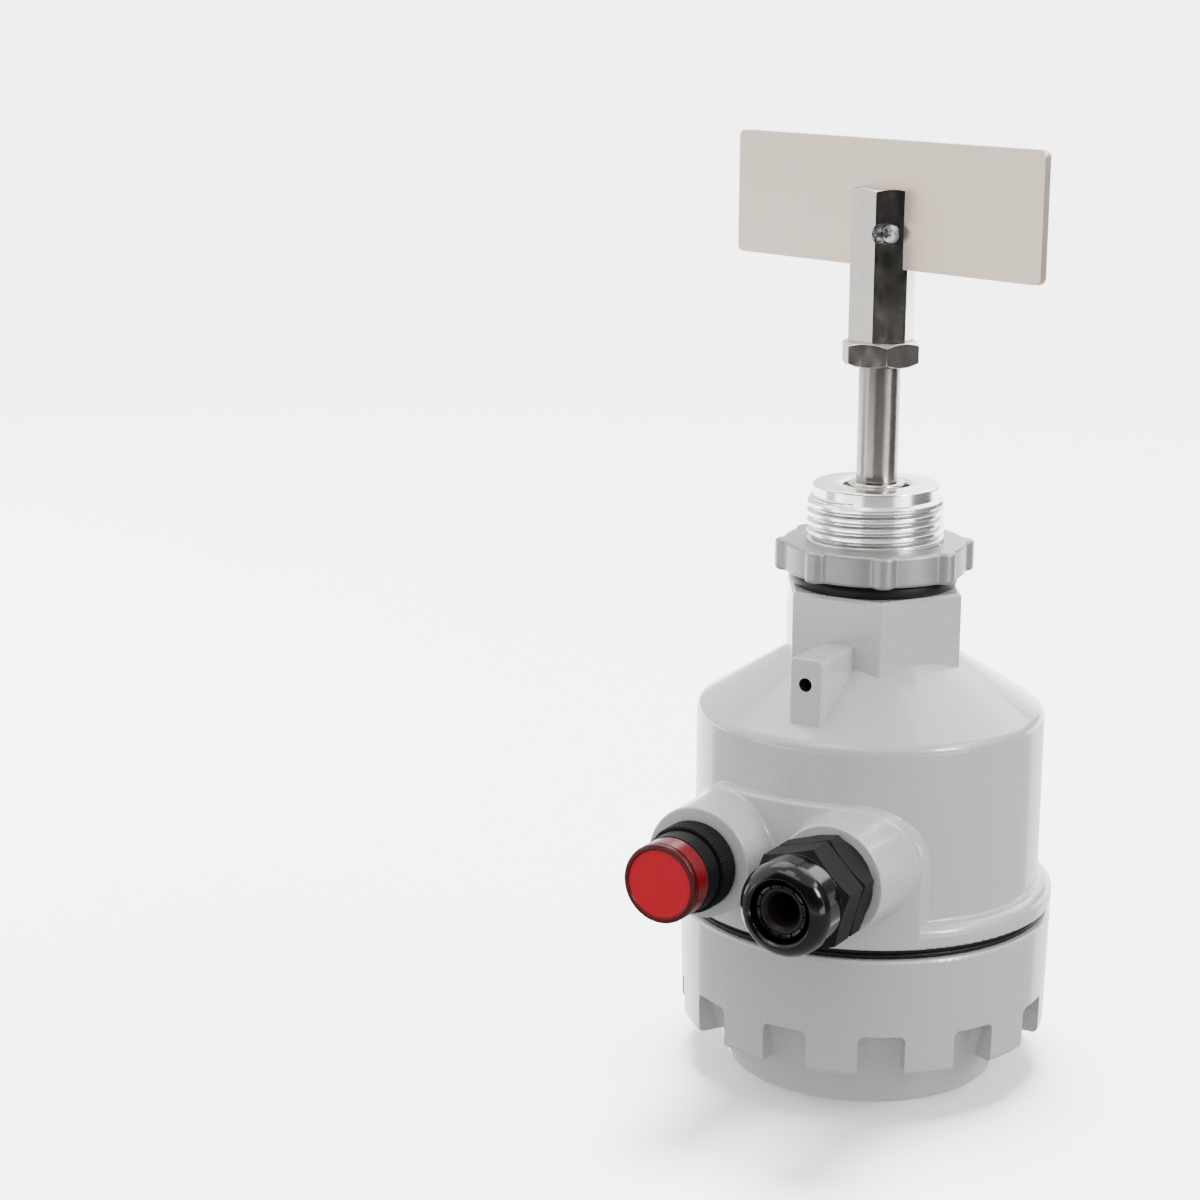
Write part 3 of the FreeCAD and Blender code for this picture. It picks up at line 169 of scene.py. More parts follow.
@dataclass(frozen=True)
class Finish:
    """A surface as it was made: its colour, gloss and the fine relief that the eye reads.

    Attributes:
        name: the material's name.
        colour: sRGB hex colour.
        roughness: mean roughness.
        metallic: share of metal.
        ior: index of refraction, for what isn't metal.
        coat, coat_roughness: weight and roughness of a clear coat.
        grain_mm, relief_mm: size and height of the grain.
        gloss_spread: how far the roughness strays.
        tone_spread, tone_mm: how far the colour strays, and the size of its patches.
        stretch: scale of the patterns along X, Y and Z.
    """

    name: str
    colour: str
    roughness: float
    metallic: float = 0.0
    ior: float = 1.5
    coat: float = 0.0
    coat_roughness: float = 0.10
    grain_mm: float = 1.0
    relief_mm: float = 0.0
    gloss_spread: float = 0.0
    tone_spread: float = 0.0
    tone_mm: float = 12.0
    stretch: Triple = (1.0, 1.0, 1.0)

    def material(self) -> bpy.types.Material:
        """Makes the finish once and returns it ever after."""
        known = bpy.data.materials.get(self.name)
        if known is not None:
            return known
        made = bpy.data.materials.new(self.name)
        made.use_nodes = True
        made.diffuse_color = linear(self.colour)
        self.wire(made.node_tree)
        return made

    def wire(self, tree: bpy.types.NodeTree) -> None:
        """Joins the noise for tone, gloss and relief to the shader.

        Args:
            tree: the material's node tree, with its shader.
        """
        shader = tree.nodes["Principled BSDF"]
        shader.inputs["Base Color"].default_value = linear(self.colour)
        shader.inputs["Roughness"].default_value = self.roughness
        shader.inputs["Metallic"].default_value = self.metallic
        shader.inputs["Coat Weight"].default_value = self.coat
        shader.inputs["Coat Roughness"].default_value = self.coat_roughness
        if self.metallic < METAL_SHARE:
            shader.inputs["IOR"].default_value = self.ior
        place = add_node(tree, "ShaderNodeTexCoord")
        laid = add_node(
            tree, "ShaderNodeMapping", values={"Scale": self.stretch},
            links={"Vector": place.outputs["Object"]})
        grain = add_node(
            tree, "ShaderNodeTexNoise",
            values={"Scale": 1 / (self.grain_mm * MM), "Detail": GRAIN_DETAIL},
            links={"Vector": laid.outputs["Vector"]})
        if self.tone_spread:
            self.wire_tone(tree, shader, laid)
        if self.gloss_spread:
            low, high = self.roughness - self.gloss_spread, self.roughness + self.gloss_spread
            gloss = add_node(
                tree, "ShaderNodeMapRange", values={"To Min": low, "To Max": high},
                links={"Value": grain.outputs["Fac"]})
            tree.links.new(gloss.outputs["Result"], shader.inputs["Roughness"])
        if self.relief_mm:
            bump = add_node(
                tree, "ShaderNodeBump",
                values={"Strength": 1.0, "Distance": self.relief_mm * MM},
                links={"Height": grain.outputs["Fac"]})
            tree.links.new(bump.outputs["Normal"], shader.inputs["Normal"])

    def wire_tone(
        self, tree: bpy.types.NodeTree, shader: bpy.types.Node, laid: bpy.types.Node,
    ) -> None:
        """Lets the colour drift a little over the surface.

        Args:
            tree: the material's node tree.
            shader: its shader node.
            laid: the node that gives the pattern's place.
        """
        drift = add_node(
            tree, "ShaderNodeTexNoise",
            values={"Scale": 1 / (self.tone_mm * MM), "Detail": DRIFT_DETAIL},
            links={"Vector": laid.outputs["Vector"]})
        base = linear(self.colour)
        dark = tuple(level * (1 - self.tone_spread) for level in base[:3]) + (1.0,)
        light = tuple(min(1.0, level * (1 + self.tone_spread)) for level in base[:3]) + (1.0,)
        mix = add_node(
            tree, "ShaderNodeMix", settings={"data_type": "RGBA"},
            values={MIX_COLOUR_A: dark, MIX_COLOUR_B: light},
            links={MIX_FACTOR: drift.outputs["Fac"]})
        tree.links.new(mix.outputs[MIX_COLOUR_OUT], shader.inputs["Base Color"])


# Die-cast aluminium under sprayed satin paint: an even cool grey with a faint orange peel.
PAINTED_CASTING = Finish(
    "painted_casting", "#AEAFB1", 0.27, coat=0.6, grain_mm=1.1, relief_mm=0.003,
    gloss_spread=0.03, tone_spread=0.012, tone_mm=30.0)
# Painted shade: the lug's hole, coloured near black and dull as the shade inside it.
PAINTED_SHADE_HOLE = Finish(
    "painted_shade_hole", "#1E1E1F", 0.60, ior=1.3, grain_mm=0.3, relief_mm=0.01,
    gloss_spread=0.08)
# Tumbled zinc casting, left bare: a warmer, duller grey with small mottles.
TUMBLED_CASTING = Finish(
    "tumbled_casting", "#8D8B89", 0.38, metallic=0.60, grain_mm=0.6, relief_mm=0.03,
    gloss_spread=0.10, tone_spread=0.10, tone_mm=2.0)
# Aluminium bar fresh from the lathe: nearly white, with rings from the tool's feed.
TURNED_ALUMINIUM = Finish(
    "turned_aluminium", "#EFEFEE", 0.20, metallic=1.0, grain_mm=0.3, relief_mm=0.003,
    gloss_spread=0.06, stretch=(0.05, 0.05, 1.0))
# Painted shade: the thread's lower flanks, which look down, made darker than the turned aluminium.
DOWNWARD_SHADE_ALUMINIUM = Finish(
    "downward_shade_aluminium", "#A5A4A2", 0.32, metallic=1.0, grain_mm=0.3, gloss_spread=0.06,
    stretch=(0.05, 0.05, 1.0))
# Stainless sheet with a satin face: warm, even, with a fine grain along its length.
SATIN_STAINLESS = Finish(
    "satin_stainless", "#CFBEB1", 0.34, metallic=1.0, grain_mm=0.25, relief_mm=0.002,
    gloss_spread=0.04, tone_spread=0.04, tone_mm=25.0, stretch=(0.05, 0.05, 1.0))
# Stainless bar, polished: sharp reflections of the studio.
POLISHED_STAINLESS = Finish(
    "polished_stainless", "#C6C1BB", 0.11, metallic=1.0, grain_mm=2.2, relief_mm=0.006,
    gloss_spread=0.10, tone_spread=0.10, tone_mm=3.0, stretch=(1.0, 1.0, 0.45))
# Stainless bar as drawn: greyer, with fine scratches along its length.
DRAWN_STAINLESS = Finish(
    "drawn_stainless", "#8A847D", 0.24, metallic=1.0, grain_mm=0.5, relief_mm=0.014,
    gloss_spread=0.07, tone_spread=0.12, tone_mm=0.8, stretch=(1.0, 1.0, 0.25))
# Steel under bright zinc: bluish and lightly clouded.
ZINC_PLATE = Finish(
    "zinc_plate", "#BEC3C6", 0.30, metallic=1.0, grain_mm=1.5, gloss_spread=0.08,
    tone_spread=0.06, tone_mm=5.0)
# Spring steel, blued and oiled.
SPRING_STEEL = Finish(
    "spring_steel", "#77787B", 0.28, metallic=1.0, grain_mm=0.5, gloss_spread=0.06,
    tone_spread=0.05, tone_mm=2.0)
# Sintered bronze, open and oily.
SINTERED_BRONZE = Finish(
    "sintered_bronze", "#A97E48", 0.42, metallic=1.0, grain_mm=0.25, relief_mm=0.01,
    gloss_spread=0.1, tone_spread=0.08, tone_mm=1.0)
# Moulded nylon as it leaves the tool: black, satin, with a spark-eroded grain.
MOULDED_NYLON = Finish(
    "moulded_nylon", "#0D0D0E", 0.55, ior=1.2, grain_mm=0.30, relief_mm=0.012,
    gloss_spread=0.06, tone_spread=0.15, tone_mm=1.5, stretch=(1.0, 0.2, 1.0))
# The same nylon from a polished part of the mould.
POLISHED_NYLON = Finish(
    "polished_nylon", "#08090B", 0.14, ior=1.40, grain_mm=2.5, relief_mm=0.002,
    gloss_spread=0.03, tone_spread=0.08, tone_mm=5.0)
# Pressed nitrile rubber: soft black, no mirror in it.
PRESSED_RUBBER = Finish(
    "pressed_rubber", "#0B0B0C", 0.45, ior=1.3, grain_mm=0.4, relief_mm=0.01,
    gloss_spread=0.08, tone_spread=0.10, tone_mm=2.0)
# The sleeve's softer rubber, a brown that is nearly black.
BROWN_RUBBER = Finish(
    "brown_rubber", "#1C0706", 0.55, ior=1.3, grain_mm=0.4, relief_mm=0.01,
    gloss_spread=0.08, tone_spread=0.10, tone_mm=2.0)
# Red polycarbonate, dyed right through and glossy.
RED_POLYCARBONATE = Finish(
    "red_polycarbonate", "#B4001E", 0.18, ior=1.35, grain_mm=2.0, gloss_spread=0.02,
    tone_spread=0.03, tone_mm=8.0)
# The lens's wall, which the light only grazes.
SHADED_POLYCARBONATE = Finish(
    "shaded_polycarbonate", "#6E030F", 0.26, ior=1.3, grain_mm=2.0, gloss_spread=0.02,
    tone_spread=0.05, tone_mm=4.0)
# Painted shade on the lens's rolled edge: the same red, darker where the wall is seen through its
# full depth.
RIM_SHADE_POLYCARBONATE = Finish(
    "rim_shade_polycarbonate", "#4A0409", 0.28, ior=1.30, grain_mm=2.0, gloss_spread=0.02,
    tone_spread=0.05, tone_mm=4.0)
# Tinted epoxy of the light emitting diode.
TINTED_EPOXY = Finish(
    "tinted_epoxy", "#D8A8A4", 0.10, ior=1.55, coat=0.3, grain_mm=2.0, gloss_spread=0.02)
# Paper laminate board, sawn and drilled.
PAPER_LAMINATE = Finish(
    "paper_laminate", "#8A6237", 0.45, grain_mm=0.8, relief_mm=0.006, gloss_spread=0.06,
    tone_spread=0.08, tone_mm=6.0, stretch=(1.0, 0.2, 1.0))
# Grey moulded thermoset of the terminals.
MOULDED_THERMOSET = Finish(
    "moulded_thermoset", "#3A3B3E", 0.45, grain_mm=0.5, relief_mm=0.008, gloss_spread=0.06,
    tone_spread=0.06, tone_mm=3.0)
# Pale studio floor, outside the object.
STUDIO_FLOOR = Finish("studio_floor", "#F4F4F4", 0.9, grain_mm=40.0, gloss_spread=0.02)


def rounded(points: Iterable[Point], pieces: int = CORNER_STEPS) -> list[Vector]:
    """Turns corner points into an outline, round at the corners that have a radius.

    Args:
        points: (radius, height) pairs, or triples with the corner's own radius.
        pieces: straight steps in each round corner.

    Returns:
        The outline in the XZ plane, in order, open.
    """
    corners = [(Vector((p[0], 0, p[1])), p[2] if len(p) > 2 else 0.0) for p in points]
    outline = []
    for index, (corner, radius) in enumerate(corners):
        if radius == 0.0:
            outline.append(corner)
            continue
        to_last = (corners[index - 1][0] - corner).normalized()
        to_next = (corners[(index + 1) % len(corners)][0] - corner).normalized()
        half = to_last.angle(to_next) / 2
        centre = corner + (to_last + to_next).normalized() * (radius / math.sin(half))
        start = (corner + to_last * (radius / math.tan(half)) - centre).normalized()
        end = (corner + to_next * (radius / math.tan(half)) - centre).normalized()
        outline += [centre + start.slerp(end, step / pieces) * radius for step in range(pieces + 1)]
    return outline


def spun(points: Iterable[Point], steps: int = FINE, closed: bool = True) -> Mesh:
    """Spins an outline round Z.

    Args:
        points: the outline's corners, as for rounded().
        steps: how many faces go round.
        closed: whether the last point joins the first.

    Returns:
        A closed shell with its faces pointing outwards.
    """
    bm = bmesh.new()
    verts = [bm.verts.new(place) for place in rounded(points)]
    pairs = list(zip(verts, verts[1:])) + ([(verts[-1], verts[0])] if closed else [])
    edges = [bm.edges.new(pair) for pair in pairs]
    bmesh.ops.spin(
        bm, geom=verts + edges, cent=ORIGIN, axis=Z_AXIS, angle=TURN, steps=steps,
        use_merge=True)
    bmesh.ops.remove_doubles(bm, verts=bm.verts, dist=SAME_POINT)
    bmesh.ops.recalc_face_normals(bm, faces=bm.faces)
    return bm


def bore_radius(node: str, lay: Optional[Matrix] = None) -> float:
    """Measures the bore of a ring.

    Args:
        node: the ring's node.
        lay: matrix that brings the ring's axis to Z, where it isn't there.

    Returns:
        The bore's radius.
    """
    places = (v.co if lay is None else lay @ v.co for v in frame["nodes"][node].data.vertices)
    return min(math.hypot(p.x, p.y) for p in places)


def span(node: str) -> Triple:
    """Measures a round piece that points to -Y.

    Args:
        node: the piece's node.

    Returns:
        How far its near end and its far end reach along -Y, and its radius.
    """
    low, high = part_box(node)
    return -high.y, -low.y, (high.x - low.x) / 2


def merged_copy(node: str) -> Mesh:
    """Copies a node's solid, with its loose triangles joined and its flats made whole.

    Args:
        node: the node's name.

    Returns:
        The joined mesh.
    """
    bm = bmesh.new()
    bm.from_mesh(frame["nodes"][node].data)
    bmesh.ops.remove_doubles(bm, verts=bm.verts, dist=SAME_SOLID_POINT)
    bmesh.ops.dissolve_limit(
        bm, angle_limit=math.radians(FLAT_DEG), verts=bm.verts, edges=bm.edges,
        use_dissolve_boundaries=False)
    return bm


def softened(bm: Mesh, width: float) -> Mesh:
    """Rounds the sharp edges of a mesh a little, as tumbling or paint does.

    Args:
        bm: the mesh, changed in place.
        width: how far the rounding reaches from each edge.

    Returns:
        The same mesh.
    """
    limit = math.radians(SHARP_DEG)
    sharp = [e for e in bm.edges if e.is_manifold and e.calc_face_angle(0.0) > limit]
    bmesh.ops.bevel(
        bm, geom=sharp, offset=width, offset_type="OFFSET", segments=EDGE_FACES, profile=0.5,
        affect="EDGES", clamp_overlap=True, material=-1)
    return bm


def to_object(bm: Mesh, name: str) -> bpy.types.Object:
    """Turns a mesh into an object of the scene.

    Args:
        bm: the mesh in its place; it is used up.
        name: the name of the object and of its mesh.

    Returns:
        The new object.
    """
    mesh = bpy.data.meshes.new(name)
    bm.to_mesh(mesh)
    bm.free()
    made = bpy.data.objects.new(name, mesh)
    bpy.context.scene.collection.objects.link(made)
    return made


def place_piece(
    bm: Mesh,
    name: str,
    body: str,
    finishes: Sequence[Finish],
    stands_for: Sequence[str],
    crisp_deg: float = CRISP_DEG,
) -> bpy.types.Object:
    """Turns a mesh into a piece of the object that rides on a body.

    Args:
        bm: the mesh in its place; it is used up.
        name: the piece's name.
        body: the body it rides on.
        finishes: its finishes, by the faces' material number.
        stands_for: nodes that the piece is shown instead of.
        crisp_deg: edges that turn by more than this are shown crisp.

    Returns:
        The new object.
    """
    for face in bm.faces:
        face.smooth = True
    for edge in bm.edges:
        edge.smooth = edge.is_manifold and edge.calc_face_angle(0.0) < math.radians(crisp_deg)
    piece = to_object(bm, name)
    for finish in finishes:
        piece.data.materials.append(finish.material())
    weighted = piece.modifiers.new("even_normals", "WEIGHTED_NORMAL")
    weighted.keep_sharp = True
    weighted.weight = NORMAL_WEIGHT
    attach(piece, body)
    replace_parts(piece, *stands_for)
    log.info("%s: %d faces on %s", name, len(piece.data.polygons), body)
    return piece


def refine(
    node: str, body: str, finish: Finish, soften: float = 0.0,
) -> bpy.types.Object:
    """Shows a node as a smooth-shaded copy of its solid, with its edges broken.

    Args:
        node: the node's name.
        body: the body that carries it.
        finish: its finish.
        soften: how far each sharp edge is rounded.

    Returns:
        The new piece.
    """
    bm = merged_copy(node)
    if soften:
        softened(bm, soften)
    return place_piece(bm, node + "_skin", body, [finish], [node])


@dataclass
class Casting:
    """The painted housing and its screw cover.

    Attributes:
        edge: how far the cover's edges are broken; the housing's are half of that.
        seal_lip: roundness of the seal's two lips.
        seal_gap: half the gap between the lips.
        lug_hole_x, lug_hole_z: place of the hole's axis in the lug.
        lug_hole_radius: radius that takes in the hole's wall and no more.
        lug_hole_end: Y beyond which the hole's wall lies.
    """

    edge: float = 0.5 * MM
    seal_lip: float = 0.55 * MM
    seal_gap: float = 0.1 * MM
    lug_hole_x: float = 0.8 * MM
    lug_hole_z: float = 104.39 * MM
    lug_hole_radius: float = 1.65 * MM
    lug_hole_end: float = -27.4 * MM

    def build(self) -> None:
        """Makes the castings and the seal between them."""
        self.build_housing()
        refine("cover", "cover", PAINTED_CASTING, self.edge)
        self.build_seal()

    def build_housing(self) -> None:
        """Makes the housing, with the wall of the hole in its lug painted near black as shade."""
        bm = softened(merged_copy("housing"), self.edge / 2)
        # The wall of the hole in the lug gets the painted shade.
        for face in bm.faces:
            middle = face.calc_center_median()
            from_axis = math.hypot(middle.x - self.lug_hole_x, middle.z - self.lug_hole_z)
            if from_axis < self.lug_hole_radius and middle.y < self.lug_hole_end:
                face.material_index = 1
        place_piece(
            bm, "housing_skin", "housing", [PAINTED_CASTING, PAINTED_SHADE_HOLE], ["housing"])

    def build_seal(self) -> None:
        """Makes the flat ring with its two lips."""
        low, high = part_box("cover_seal")
        inner = bore_radius("cover_seal")
        outer, middle = high.x, (low.z + high.z) / 2
        bm = spun([
            (inner, low.z), (outer, low.z, self.seal_lip),
            (outer, middle - self.seal_gap, self.seal_lip), (outer - self.seal_lip, middle),
            (outer, middle + self.seal_gap, self.seal_lip), (outer, high.z, self.seal_lip),
            (inner, high.z)])
        place_piece(
            bm, "cover_seal_ring", "cover_seal", [PRESSED_RUBBER], ["cover_seal"])


@dataclass
class ProcessConnection:
    """The threaded spigot with its lock nut and gasket.

    Attributes:
        pitch, tooth: the thread's pitch and depth.
        first_turn: turns below its lower end where it starts, to be cut off there.
        spare_turns: turns added so that it passes both ends.
        sunk: how deep in the core its sleeve runs out at the upper end.
        flank_down: lower flanks, which get painted shade, are faces that look down by more than
            this.
        shank, shank_bore: outer and inner radius of the spigot inside the neck.
        pilot, pilot_radius: height and radius of the plain end above the thread.
        pilot_round: roundness of that end.
        mouth, mouth_depth: radius and depth of the shaft's opening.
        mouth_chamfer: width of its chamfer.
        gasket_round: roundness of the gasket.
    """

    pitch: float = 2.309 * MM
    tooth: float = 1.15 * MM
    first_turn: float = 1.5
    spare_turns: int = 2
    sunk: float = 0.3 * MM
    flank_down: float = 0.3
    shank: float = 14.0 * MM
    shank_bore: float = 6.0 * MM
    pilot: float = 2.4 * MM
    pilot_radius: float = 15.4 * MM
    pilot_round: float = 0.6 * MM
    mouth: float = 8.0 * MM
    mouth_depth: float = 20.0 * MM
    mouth_chamfer: float = 0.8 * MM
    gasket_round: float = 1.4 * MM

    def build(self) -> None:
        """Makes the spigot, the lock nut and the gasket."""
        self.build_thread()
        refine("lock_nut", "lock_nut", TUMBLED_CASTING)
        low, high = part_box("neck_gasket")
        inner = bore_radius("neck_gasket")
        bm = spun([
            (inner, low.z), (high.x, low.z, self.gasket_round),
            (high.x, high.z, self.gasket_round), (inner, high.z)])
        place_piece(
            bm, "neck_gasket_ring", "neck_gasket", [PRESSED_RUBBER], ["neck_gasket"])

    def build_thread(self) -> None:
        """Makes the spigot: a bored core with a pipe thread round it."""
        low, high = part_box("threaded_spigot")
        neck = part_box("housing")[1].z
        crest = high.x
        root = crest - self.tooth
        top = high.z
        end = top - self.pilot
        floor = top - self.mouth_depth
        bm = spun([
            (self.shank_bore, low.z), (self.shank, low.z), (self.shank, neck), (root, neck),
            (root, end), (self.pilot_radius, end), (self.pilot_radius, top, self.pilot_round),
            (self.mouth + self.mouth_chamfer, top), (self.mouth, top - self.mouth_chamfer),
            (self.mouth, floor), (self.shank_bore, floor)])
        thread = self.thread(neck, end, root, crest)
        mesh = bpy.data.meshes.new("thread")
        thread.to_mesh(mesh)
        thread.free()
        bm.from_mesh(mesh)
        # Faces of the thread that look down get the darker finish: painted shade.
        for face in bm.faces:
            face.normal_update()
            height = face.calc_center_median().z
            if face.normal.z < -self.flank_down and neck < height < end:
                face.material_index = 1
        place_piece(
            bm, "threaded_spigot_turned", "housing", [TURNED_ALUMINIUM, DOWNWARD_SHADE_ALUMINIUM],
            ["threaded_spigot"], RIDGED_CRISP_DEG)

    def thread(self, low: float, high: float, root: float, crest: float) -> Mesh:
        """Makes a helical thread between two heights.

        Args:
            low: height of its lower end.
            high: height of its upper end.
            root: radius between the teeth.
            crest: radius on the teeth.

        Returns:
            The threaded sleeve.
        """
        bm = bmesh.new()
        turns = math.ceil((high - low) / self.pitch) + self.spare_turns
        verts = []
        for index in range(turns):
            base = low + (index - self.first_turn) * self.pitch
            for share, radius in self.tooth_outline(root, crest):
                verts.append(bm.verts.new((radius, 0, base + share * self.pitch)))
        verts.append(bm.verts.new((root, 0, low + (turns - self.first_turn) * self.pitch)))
        edges = [bm.edges.new(pair) for pair in zip(verts, verts[1:])]
        bmesh.ops.spin(
            bm, geom=verts + edges, cent=ORIGIN, axis=Z_AXIS,
            dvec=(0, 0, self.pitch / COARSE), angle=TURN, steps=COARSE, use_merge=False)
        bmesh.ops.remove_doubles(bm, verts=bm.verts, dist=SAME_SOLID_POINT)
        for vert in bm.verts:
            radius = math.hypot(vert.co.x, vert.co.y)
            limit = root - self.sunk + max(0.0, high - vert.co.z)
            if radius > limit:
                vert.co.x *= limit / radius
                vert.co.y *= limit / radius
        for height, side in ((low, -1), (high, 1)):
            geom = list(bm.verts) + list(bm.edges) + list(bm.faces)
            bmesh.ops.bisect_plane(
                bm, geom=geom, dist=ON_PLANE, plane_co=(0, 0, height), plane_no=(0, 0, side),
                clear_outer=True)
        bmesh.ops.recalc_face_normals(bm, faces=bm.faces)
        return bm

    @staticmethod
    def tooth_outline(root: float, crest: float) -> list[tuple[float, float]]:
        """Draws one tooth, with a round crest.

        Args:
            root: radius between the teeth.
            crest: radius on the teeth.

        Returns:
            Points as (share of the pitch, radius).
        """
        depth = crest - root
        shoulder, brow = crest - depth * 0.10, crest - depth * 0.02
        return [
            (0.0, root), (0.04, root), (0.26, shoulder), (0.31, brow), (0.36, crest),
            (0.64, crest), (0.69, brow), (0.74, shoulder), (0.96, root)]


@dataclass
class Paddle:
    """The shaft above the spigot, with the holder and the blade.

    Attributes:
        edge: how far the bright pieces' edges are broken.
        blade_edge: the same for the blade.
        recess_reach, recess_width, recess_depth: size of the screw's cross.
        head_round: roundness of the screw's head.
        head_share: share of the head's radius where its rim begins.
        upright: normals that rise by less than this count as level.
    """

    edge: float = 0.12 * MM
    blade_edge: float = 0.2 * MM
    recess_reach: float = 3.0 * MM
    recess_width: float = 0.9 * MM
    recess_depth: float = 0.8 * MM
    head_round: float = 0.5 * MM
    head_share: float = 0.95
    upright: float = 0.1

    def build(self) -> None:
        """Makes the shaft and the paddle."""
        body = "paddle_shaft"
        refine("drive_shaft", body, DRAWN_STAINLESS)
        refine("slinger_ring", body, POLISHED_STAINLESS)
        refine("jam_nut", body, POLISHED_STAINLESS, self.edge)
        refine("blade_holder", body, POLISHED_STAINLESS, self.edge)
        refine("paddle_blade", body, SATIN_STAINLESS, self.blade_edge)
        self.build_screw(body)

    def build_screw(self, body: str) -> None:
        """Makes the blade's screw with its cross recess.

        Args:
            body: the body that carries it.
        """
        solid = merged_copy("blade_screw")
        head = max(
            solid.faces, key=lambda f: f.calc_area() if abs(f.normal.z) < self.upright else 0.0)
        turned = head.normal.to_track_quat("Z", "Y").to_matrix().to_4x4()
        place = Matrix.Translation(head.calc_center_median()) @ turned
        inside = place.inverted()
        spots = [inside @ v.co for v in solid.verts]
        solid.free()
        wide = max(math.hypot(p.x, p.y) for p in spots)
        under = min(p.z for p in spots if math.hypot(p.x, p.y) > self.head_share * wide)
        tip = min(p.z for p in spots)
        thin = max(math.hypot(p.x, p.y) for p in spots if p.z < under - self.edge)
        bm = spun([
            (0, tip), (thin, tip), (thin, under), (wide, under), (wide, 0, self.head_round),
            (0, 0)], COARSE, closed=False)
        bm.transform(place)
        piece = place_piece(
            bm, "blade_screw_cross", body, [ZINC_PLATE], ["blade_screw"])
        cutter = self.cross(place)
        carved = piece.modifiers.new("recess", "BOOLEAN")
        carved.operation = "DIFFERENCE"
        carved.solver = "EXACT"
        carved.use_self = True
        carved.object = cutter
        bpy.context.view_layer.update()
        result = piece.evaluated_get(bpy.context.evaluated_depsgraph_get())
        piece.data = bpy.data.meshes.new_from_object(result)
        piece.modifiers.remove(carved)
        bpy.data.objects.remove(cutter)

    def cross(self, place: Matrix) -> bpy.types.Object:
        """Makes the shape of the driver's tip.

        Args:
            place: matrix that lays a piece drawn along +Z on the screw's face.

        Returns:
            The cutting object.
        """
        bm = bmesh.new()
        for quarter in (0, 1):
            made = bmesh.ops.create_cube(bm, size=1.0)["verts"]
            arm = (self.recess_reach, self.recess_width, 2 * self.recess_depth)
            bmesh.ops.scale(bm, vec=arm, verts=made)
            turn = Matrix.Rotation(math.radians(45 + 90 * quarter), 3, "Z")
            bmesh.ops.rotate(bm, verts=made, cent=ORIGIN, matrix=turn)
        bm.transform(place)
        return to_object(bm, "driver_tip")


